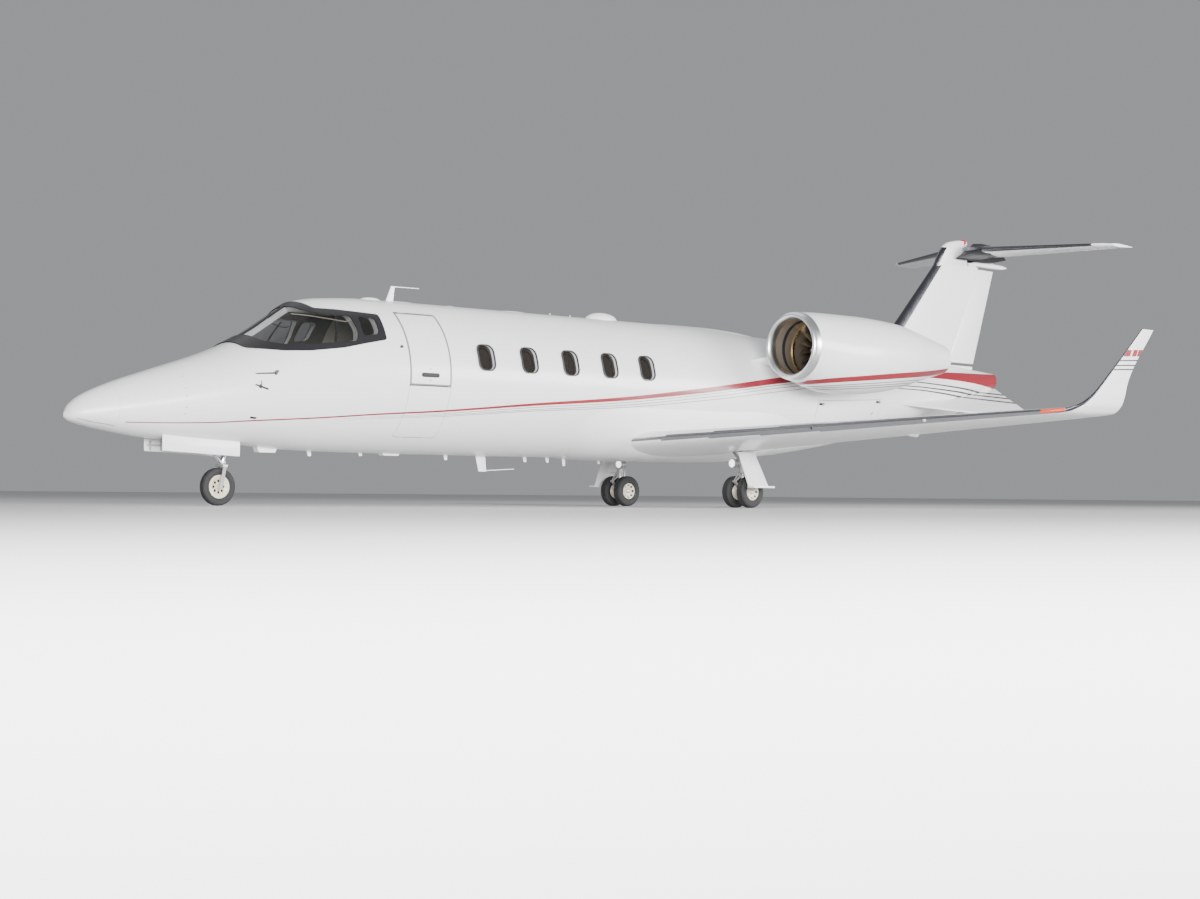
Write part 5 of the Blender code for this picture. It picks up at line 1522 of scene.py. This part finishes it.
carpet = Finish("wool_carpet", (0.30, 0.26, 0.21), Roughness=0.95, Sheen_Weight=0.4)
carpet.bump(carpet.noise(260.0, 4.0, 0.7), 0.6, 0.002)
leather = Finish("cream_leather", (0.58, 0.50, 0.39), Roughness=0.5)
leather.bump(leather.noise(140.0, 4.0), 0.3, 0.0008)
fit(from_cad("cabin_floor", "floor_carpet", carpet.material, 0.003), "airframe", "carpet",
    "cabin_floor")
fit(from_cad("instrument_panel", "instrument_board", seal.material, 0.01), "airframe",
    "dark_trim", "instrument_panel")

# Chairs
# Each chair is a moulded shell on a pedestal, padded with foam under cream leather. The leather
# is sewn in upright channels with a piped seam round the edge, and the headrest is a separate pad.

FLOOR_TOP = 0.955
SEAT_HALF = 0.235
RAIL_CHAIR = 1
# CAD node, station, distance from the middle, which way it faces along X, height of its back
CHAIRS = (
    ("pilot_seat", 3.42, 0.36, 1, 0.54), ("club_seats", 5.55, 0.47, -1, 0.62),
    ("club_seats", 7.05, 0.47, 1, 0.62), ("club_seats", 8.30, 0.47, 1, 0.62),
)
# The shell's outline, as distance behind the seat's middle and height over the floor, to which the
# back's height is added where it says 1
SHELL = (
    (-0.25, 0.28, 0), (-0.25, 0.31, 0), (0.17, 0.32, 0), (0.305, 0.42, 1), (0.36, 0.42, 1),
    (0.26, 0.26, 0),
)
BACK_LEAN = 1.385
shell_plastic = Finish("chair_shell", (0.33, 0.28, 0.21), Roughness=0.5)
shell_plastic.bump(shell_plastic.noise(200.0, 3.0), 0.15, 0.0004)


def cushion(place, long, wide, thick, channels=3, pull=0.035):
    """Crowned pad in a frame of its length, width and thickness, with sewn channels in it."""
    shape = bmesh.new()
    bmesh.ops.create_cube(shape, size=2.0)
    bmesh.ops.subdivide_edges(shape, edges=shape.edges, cuts=17, use_grid_fill=True)
    for vert in shape.verts:
        u, v, w = vert.co
        edge_u = math.sqrt(1.0 - 0.5 * w * w * 0.35) * math.sqrt(1.0 - 0.5 * v * v * 0.12)
        edge_v = math.sqrt(1.0 - 0.5 * w * w * 0.35) * math.sqrt(1.0 - 0.5 * u * u * 0.12)
        crown = 1.0 - 0.42 * (0.5 * u ** 4 + 0.5 * v ** 4) - 0.08 * (u * u + v * v)
        if w > 0:
            for number in range(1, channels + 1):
                seam = -1.0 + 2.0 * number / (channels + 1)
                crown -= 0.10 * math.exp(-((v - seam) / 0.055) ** 2) * (1.0 - u ** 6)
        piping = 0.012 * math.exp(-(w / 0.10) ** 2) if max(abs(u), abs(v)) > 0.99 else 0.0
        vert.co = (
            (u * edge_u * (1.0 - pull * (1.0 - v * v)) + math.copysign(piping, u)) * long / 2,
            (v * edge_v * (1.0 - pull * (1.0 - u * u)) + math.copysign(piping, v)) * wide / 2,
            w * crown * thick / 2,
        )
    shape.transform(place)
    bmesh.ops.recalc_face_normals(shape, faces=shape.faces)
    return shape


def pad_frame(chair, behind, up, lean, middle):
    """Frame of a pad: its length runs back or up the chair, and it faces the sitter."""
    station, facing = chair[1], chair[3]
    turn = Matrix.Rotation(-facing * lean, 4, "Y")
    flip = Matrix.Diagonal((facing, 1.0, 1.0, 1.0)) if facing < 0 else Matrix.Identity(4)
    return Matrix.Translation((
        along(station) + facing * behind, middle, FLOOR_TOP + up
    )) @ turn @ flip


replaced = set()
for number, chair in enumerate(CHAIRS):
    node, station, reach, facing, back = chair
    for hand, side in (("left", -1), ("right", 1)):
        x, middle = along(station), side * reach
        outline = [
            (station + facing * behind, FLOOR_TOP + (up + back if raised else up))
            for behind, up, raised in SHELL
        ]
        stand = gather(
            slab(outline, middle - SEAT_HALF, middle + SEAT_HALF, 0.02, 3),
            box((x - 0.14, middle - 0.10, FLOOR_TOP + 0.002),
                (x + 0.14, middle + 0.10, FLOOR_TOP + 0.035)),
            rod((x, middle, FLOOR_TOP + 0.03), (x, middle, FLOOR_TOP + 0.30), 0.075, 0.06),
        )
        if number == RAIL_CHAIR:
            stand = gather(stand, box(
                (x, middle - 0.03, FLOOR_TOP + 0.0003),
                (along(CHAIRS[-1][1]), middle + 0.03, FLOOR_TOP + 0.030),
            ))
        nodes = {f"{node}_{hand}"} - replaced
        replaced |= nodes
        label = f"chair_{number + 1}_{hand}"
        add(f"{label}_shell", stand, shell_plastic, "airframe", "tan_leather", *nodes)
        # Pad, length, width, thickness, how far behind and up it lies, its lean and its channels
        pads = (
            ("seat", 0.42, 0.44, 0.125, -0.045, 0.378, 0.0, 3),
            ("back", back - 0.10, 0.43, 0.085, 0.200, 0.415 + (back - 0.10) / 2, BACK_LEAN, 3),
            ("headrest", 0.13, 0.30, 0.070, 0.262, 0.360 + back, BACK_LEAN, 0),
        )
        for part, long, wide, thick, behind, up, lean, channels in pads:
            shape = cushion(pad_frame(chair, behind, up, lean, middle), long, wide, thick, channels)
            pad = add(f"{label}_{part}", shape, leather, "airframe", "tan_leather", angle=60)

# Antennas, domes and drains
# Moulded blades and covers are screwed to the roof and the belly for radio, navigation and air
# traffic control. Small drain masts and a marker antenna line the belly.

# Front and rear station, height of the foot, height above it and width
ROOF_COVERS = (
    (4.05, 4.35, 2.592, 0.040, 0.16), (7.877, 8.435, 2.590, 0.107, 0.26),
    (4.44, 4.95, 2.594, 0.018, 0.07), (5.387, 5.569, 2.594, 0.018, 0.09),
    (6.29, 6.82, 2.594, 0.020, 0.09),
)
ROOF_STUBS = (7.213, 7.579)
# Station and lower end of each drain mast, and stations and lower edge of the two shallow covers
DRAINS = ((3.30, 0.613), (4.07, 0.628), (5.43, 0.601), (6.78, 0.598), (7.18, 0.598), (7.48, 0.555),
          (8.125, 0.593))
BELLY_COVERS = ((2.52, 2.81, 0.644), (4.37, 4.67, 0.641))


def blade(root, tip, ratio=0.14):
    """Upright blade between two side-view rows of front station, rear station and height."""
    sections = [
        (Vector((along(first), 0.0, z)), Vector((along(last), 0.0, z)), ratio,
         Vector((0.0, 1.0, 0.0)))
        for first, last, z in (root, tip)
    ]
    shape = sleeve(1, LAST_STEP, lambda row, step: foil_point(*sections[row], step), closed=False)
    bmesh.ops.remove_doubles(shape, verts=shape.verts, dist=0.00001)
    return cap(shape)


covers = []
for first, last, base, height, width in ROOF_COVERS:
    cover = bmesh.new()
    place = Matrix.Translation((along((first + last) / 2), 0.0, base)) @ Matrix.Diagonal(
        ((last - first) / 2, width / 2, height, 1.0)
    )
    bmesh.ops.create_uvsphere(cover, u_segments=32, v_segments=20, radius=1.0, matrix=place)
    covers.append(cover)
covers += [rod((along(s), 0.0, 2.58), (along(s), 0.0, 2.63), 0.008, 0.005) for s in ROOF_STUBS]
covers.append(blade((4.44, 4.56, 2.59), (4.53, 4.59, 2.80)))
covers.append(rod((along(4.55), 0.0, 2.795), (along(4.973), 0.0, 2.800), 0.007, 0.005))
add("roof_antennas", gather(*covers), white_paint, "airframe", "white_paint")
masts = [blade((s - 0.035, s + 0.035, 0.690), (s - 0.010, s + 0.035, z)) for s, z in DRAINS]
masts.append(blade((5.93, 6.10, 0.68), (5.99, 6.12, 0.46)))
masts.append(rod((along(6.05), 0.0, 0.470), (along(6.60), 0.0, 0.500), 0.006))
for first, last, low in BELLY_COVERS:
    masts.append(slab(((first, 0.72), (first + 0.03, low), (last - 0.03, low), (last, 0.70)),
                      -0.05, 0.05, 0.01, 3))
add("belly_antennas", gather(*masts), white_paint, "airframe", "white_paint")

# Landing gear
# Forged steel legs with bright chromed pistons, hinged torque links and rigid pipes carry forged
# wheels in cream enamel. The tyres are black rubber with three grooves.

steel = Finish("painted_leg", (0.55, 0.55, 0.54), Metallic=0.7)
steel.set("Roughness", steel.noise(40.0, 3.0) * 0.2 + 0.30)
chrome = Finish("piston_chrome", (0.74, 0.74, 0.75), Metallic=1.0)
chrome.set("Roughness", chrome.noise(60.0, 2.0) * 0.06 + 0.08)
lamp_lens = Finish("lamp_lens", (0.92, 0.93, 0.95), Emission_Strength=2.5)
lamp_lens.set("Emission Color", lamp_lens.blend(
    lamp_lens.noise(90.0, 2.0), (0.85, 0.90, 1.0, 1.0), (1.0, 1.0, 1.0, 1.0)
))
enamel = Finish("wheel_enamel", (0.66, 0.60, 0.46), Coat_Weight=0.3)
enamel.set("Roughness", enamel.noise(30.0, 3.0) * 0.2 + 0.30)
rubber = Finish("tyre_rubber", (0.024, 0.024, 0.025), Roughness=0.8)
rubber.bump(rubber.noise(220.0, 3.0), 0.2, 0.0008)
LEG_Y = 1.255
# Station and height of the axles
MAIN_GEAR = (9.72, 0.222)
NOSE_GEAR = (2.01, 0.225)
# Radius of the rim's holes, their distance from the axle, where they start and end along it, and
# where the dark brake parts behind them end
MAIN_HOLES = (0.016, 0.090, 0.125, 0.200, 0.174)
NOSE_HOLES = (0.017, 0.068, 0.001, 0.060, 0.0170)
WHEELS = (
    ("nose_wheel", "nose_wheels", NOSE_GEAR, 0.0, NOSE_HOLES),
    ("main_wheels_left", "wheels_left", MAIN_GEAR, -LEG_Y, MAIN_HOLES),
    ("main_wheels_right", "wheels_right", MAIN_GEAR, LEG_Y, MAIN_HOLES),
)
HUB_CAP = ((0.0, 0.034), (0.014, 0.034), (0.020, 0.026), (0.022, 0.0))
HUB_CAP_OUT = 0.168


def bars_round(axle, middle, reach, start, end, radius, sides):
    """Eight short bars in a circle round an axle, on both faces of its wheels."""
    station, height = axle
    bars = []
    for number in range(8):
        angle = 2 * math.pi * number / 8
        spot = Vector((along(station) + reach * math.cos(angle), middle,
                       height + reach * math.sin(angle)))
        for side in (-1, 1):
            bars.append(rod(spot + Vector((0.0, side * start, 0.0)),
                            spot + Vector((0.0, side * end, 0.0)), radius, sides=sides))
    return gather(*bars)


for node, body in (("nose_leg", "airframe"), ("nose_fork", "nose_steering"),
                   ("main_leg_left", "airframe"), ("main_leg_right", "airframe")):
    fit(from_cad(node, f"{node}_steel", steel.material, 0.003), body, "gear_metal", node)
for node, body, axle, middle, (radius, reach, start, end, brake_end) in WHEELS:
    rim = from_cad(node, f"{node}_rim", enamel.material)
    holes = bars_round(axle, middle, reach, start, end, radius, 16)
    carve(rim, put("holes", holes), solver="EXACT")
    fit(rim, body, "wheel_enamel", node)
    brake = bars_round(axle, middle, reach, start, brake_end, radius * 0.94, 12)
    add(f"{node}_brake", brake, frame_paint, body, "gear_metal")
    if middle:
        nut = Vector((along(axle[0]), middle, axle[1]))
        caps = gather(*(
            turned(HUB_CAP, nut + Vector((0.0, side * HUB_CAP_OUT, 0.0)), (0.0, side, 0.0), 24)
            for side in (-1, 1)
        ))
        add(f"{node}_caps", caps, steel, body, "gear_metal")

GROOVES = (-0.026, 0.0, 0.026)
GROOVE_DEPTH = 0.006
for node, body in (
    ("nose_tyre", "nose_wheels"), ("main_tyre_left_inner", "wheels_left"),
    ("main_tyre_left_outer", "wheels_left"), ("main_tyre_right_inner", "wheels_right"),
    ("main_tyre_right_outer", "wheels_right"),
):
    tyre = from_cad(node, f"{node}_rubber", rubber.material, 0.004, 2)
    station, height = NOSE_GEAR if node == "nose_tyre" else MAIN_GEAR
    walls = [vert.co.y for vert in tyre.data.vertices]
    centre_y = (min(walls) + max(walls)) / 2
    crown = max(vert.co.z for vert in tyre.data.vertices) - height
    grooves = []
    for shift in GROOVES:
        rows = ((shift - 0.0025, crown - GROOVE_DEPTH), (shift + 0.0025, crown - GROOVE_DEPTH),
                (shift + 0.0035, crown + 0.01), (shift - 0.0035, crown + 0.01))
        grooves.append(sleeve(4, 96, lambda row, side: Vector((
            along(station) + rows[row % 4][1] * math.cos(2 * math.pi * side / 96),
            centre_y + rows[row % 4][0],
            height + rows[row % 4][1] * math.sin(2 * math.pi * side / 96),
        ))))
    carve(tyre, put("grooves", gather(*grooves)), solver="EXACT")
    fit(tyre, body, "tyre", node)
for node in ("nose_gear_door_left", "nose_gear_door_right", "strut_door_left",
             "strut_door_right"):
    fit(from_cad(node, f"{node}_skin", white_paint.material, 0.002), "airframe", "white_paint",
        node)

# Start, end, radius and end radius and sides of the main leg's collars, links, pins and two pipes,
# measured from the ground below the leg
LEG_BARS = (
    *(((0.0, 0.0, z), (0.0, 0.0, z + 0.026), 0.064, None, 20) for z in (0.420, 0.560, 0.720)),
    ((-0.050, -0.040, 0.470), (-0.165, -0.016, 0.366), 0.012, 0.009, 12),
    ((-0.165, -0.016, 0.366), (-0.040, -0.040, 0.262), 0.009, 0.012, 12),
    ((-0.050, 0.040, 0.470), (-0.165, 0.016, 0.366), 0.012, 0.009, 12),
    ((-0.165, 0.016, 0.366), (-0.040, 0.040, 0.262), 0.009, 0.012, 12),
    ((-0.052, -0.052, 0.470), (-0.052, 0.052, 0.470), 0.014, None, 14),
    ((-0.165, -0.026, 0.366), (-0.165, 0.026, 0.366), 0.014, None, 14),
    ((-0.042, -0.050, 0.262), (-0.042, 0.050, 0.262), 0.014, None, 14),
    ((0.060, 0.035, 0.700), (0.058, 0.035, 0.300), 0.006, None, 10),
    ((0.062, -0.030, 0.720), (0.064, -0.030, 0.430), 0.005, None, 10),
)
# Heights between which the piston shows, and its radius
MAIN_PISTON = (0.278, 0.424, 0.0352)
LAMP_Y, LAMP_HEIGHT = 0.095, 0.62
LAMP_RIM = ((0.0, 0.060), (0.0, 0.0645), (0.022, 0.0645), (0.028, 0.060))
LAMP_GLASS = ((0.0, 0.0), (0.001, 0.030), (0.003, 0.054), (0.007, 0.056))
for hand, side in (("left", -1), ("right", 1)):
    foot = Vector((along(MAIN_GEAR[0]), side * LEG_Y, 0.0))
    low, high, radius = MAIN_PISTON
    piston = rod(foot + Vector((0.0, 0.0, low)), foot + Vector((0.0, 0.0, high)), radius)
    add(f"main_piston_{hand}", piston, chrome, "airframe", "gear_metal")
    arms = [
        rod(foot + Vector(start), foot + Vector(end), *sizes) for start, end, *sizes in LEG_BARS
    ]
    arms.append(turned(LAMP_RIM, foot + Vector((-0.122, -side * LAMP_Y, LAMP_HEIGHT))))
    add(f"main_torque_links_{hand}", gather(*arms), steel, "airframe", "gear_metal")
    lens = turned(LAMP_GLASS, foot + Vector((-0.1275, -side * LAMP_Y, LAMP_HEIGHT)))
    add(f"taxi_lamp_{hand}", lens, lamp_lens, "airframe", "tinted_glass")

hub = Vector((along(NOSE_GEAR[0]), 0.0, NOSE_GEAR[1]))
steer_way = (Vector((along(2.105), 0.0, 0.68)) - hub).normalized()
ahead = Vector((-steer_way.z, 0.0, steer_way.x))
# Collars on the steering tube, two link arms a side, and a pin at each of their three ends
scissor = [rod(hub + steer_way * 0.455, hub + steer_way * 0.480, 0.068),
           rod(hub + steer_way * 0.285, hub + steer_way * 0.310, 0.046)]
for y in (-0.030, 0.030):
    top, elbow, low = (
        hub + steer_way * 0.465 + ahead * 0.062 + Vector((0.0, y, 0.0)),
        hub + steer_way * 0.375 + ahead * 0.145 + Vector((0.0, y * 0.4, 0.0)),
        hub + steer_way * 0.295 + ahead * 0.040 + Vector((0.0, y, 0.0)),
    )
    scissor += [rod(top, elbow, 0.010, 0.008, 12), rod(elbow, low, 0.008, 0.010, 12)]
for way, out, half in ((0.465, 0.064, 0.040), (0.375, 0.145, 0.020), (0.295, 0.044, 0.038)):
    pin = hub + steer_way * way + ahead * out
    scissor.append(rod(pin - Vector((0.0, half, 0.0)), pin + Vector((0.0, half, 0.0)), 0.011,
                       sides=14))
add("nose_torque_links", gather(*scissor), steel, "nose_steering", "gear_metal")
nose_piston = rod(hub + steer_way * 0.312, hub + steer_way * 0.440, 0.0355)
add("nose_piston", nose_piston, chrome, "nose_steering", "gear_metal")

DOOR_INSIDE = 0.1995
RIB_START, RIB_PITCH, RIB_LONG, RIB_COUNT = 1.20, 0.15, 0.025, 7
# Heights and depth of the ribs, and stations, heights and depth of the beam that joins them
RIB_HEIGHTS, RIB_DEEP = (0.645, 0.755), 0.012
BEAM, BEAM_HEIGHTS, BEAM_DEEP = (1.17, 2.15), (0.690, 0.712), 0.010
liner = Finish("door_liner", (0.42, 0.43, 0.40), Roughness=0.6)
liner.bump(liner.noise(70.0, 3.0), 0.2, 0.0005)
for hand, side in (("left", -1), ("right", 1)):
    ribs = []
    for number in range(RIB_COUNT):
        start = RIB_START + RIB_PITCH * number
        ribs.append(box((along(start), 0.0, RIB_HEIGHTS[0]),
                        (along(start + RIB_LONG), RIB_DEEP, RIB_HEIGHTS[1])))
    ribs.append(box((along(BEAM[0]), 0.0, BEAM_HEIGHTS[0]),
                    (along(BEAM[1]), BEAM_DEEP, BEAM_HEIGHTS[1])))
    rib_shape = gather(*ribs)
    for vert in rib_shape.verts:
        vert.co.y = side * (DOOR_INSIDE - vert.co.y)
    bmesh.ops.recalc_face_normals(rib_shape, faces=rib_shape.faces)
    add(f"nose_door_ribs_{hand}", rib_shape, liner, "airframe", "gear_metal")

# Floor, light and camera
# A plain pale floor under soft studio light, seen from the height and angle of the photograph.

FLOOR_HALF, FLOOR_SINK = 150.0, 0.001
SKY, SKY_STRENGTH = (0.80, 0.82, 0.85, 1.0), 0.42
CAMERA_PLACE = (-19.927, -20.925, 0.176)
# Camera's heading, upward pitch and roll in degrees, and its sensor and lens in millimetres
HEADING, PITCH, ROLL = 42.46, 1.25, 0.48
SENSOR_WIDTH, FOCAL_LENGTH = 36.0, 61.167
floor_paint = Finish("studio_floor", (0.62, 0.62, 0.62), Roughness=0.55)
ground = bmesh.new()
bmesh.ops.create_grid(ground, x_segments=1, y_segments=1, size=FLOOR_HALF)
floor = put("studio_floor", ground, floor_paint.material)
floor.location.z = -FLOOR_SINK

world = bpy.data.worlds.new("studio")
bpy.context.scene.world = world
world.use_nodes = True
sky = world.node_tree.nodes["Background"].inputs
sky["Color"].default_value = SKY
sky["Strength"].default_value = SKY_STRENGTH


def soft_light(name, place, aim, size, power):
    """Wide rectangular lamp that faces a point."""
    light = bpy.data.lights.new(name, "AREA")
    light.shape = "RECTANGLE"
    light.size, light.size_y = size
    light.energy = power
    lamp = bpy.data.objects.new(name, light)
    lamp.location = place
    lamp.rotation_euler = (Vector(aim) - Vector(place)).to_track_quat("-Z", "Y").to_euler()
    bpy.context.scene.collection.objects.link(lamp)


soft_light("key_light", (-14.0, -24.0, 4.5), (0.0, 0.0, 1.8), (20.0, 6.0), 14500.0)
soft_light("fill_light", (16.0, -20.0, 5.0), (4.0, 0.0, 2.0), (14.0, 6.0), 7500.0)
soft_light("top_light", (0.0, 6.0, 14.0), (0.0, 0.0, 1.0), (22.0, 12.0), 900.0)

view = bpy.data.cameras.new("photo_camera")
view.sensor_width = SENSOR_WIDTH
view.lens = FOCAL_LENGTH
camera = bpy.data.objects.new("photo_camera", view)
bpy.context.scene.collection.objects.link(camera)
heading, pitch, roll = (math.radians(angle) for angle in (HEADING, PITCH, ROLL))
turn = Matrix.Rotation(-heading, 4, "Z") @ Matrix.Rotation(math.pi / 2 + pitch, 4, "X")
camera.matrix_world = Matrix.Translation(CAMERA_PLACE) @ turn @ Matrix.Rotation(roll, 4, "Z")
bpy.context.scene.camera = camera
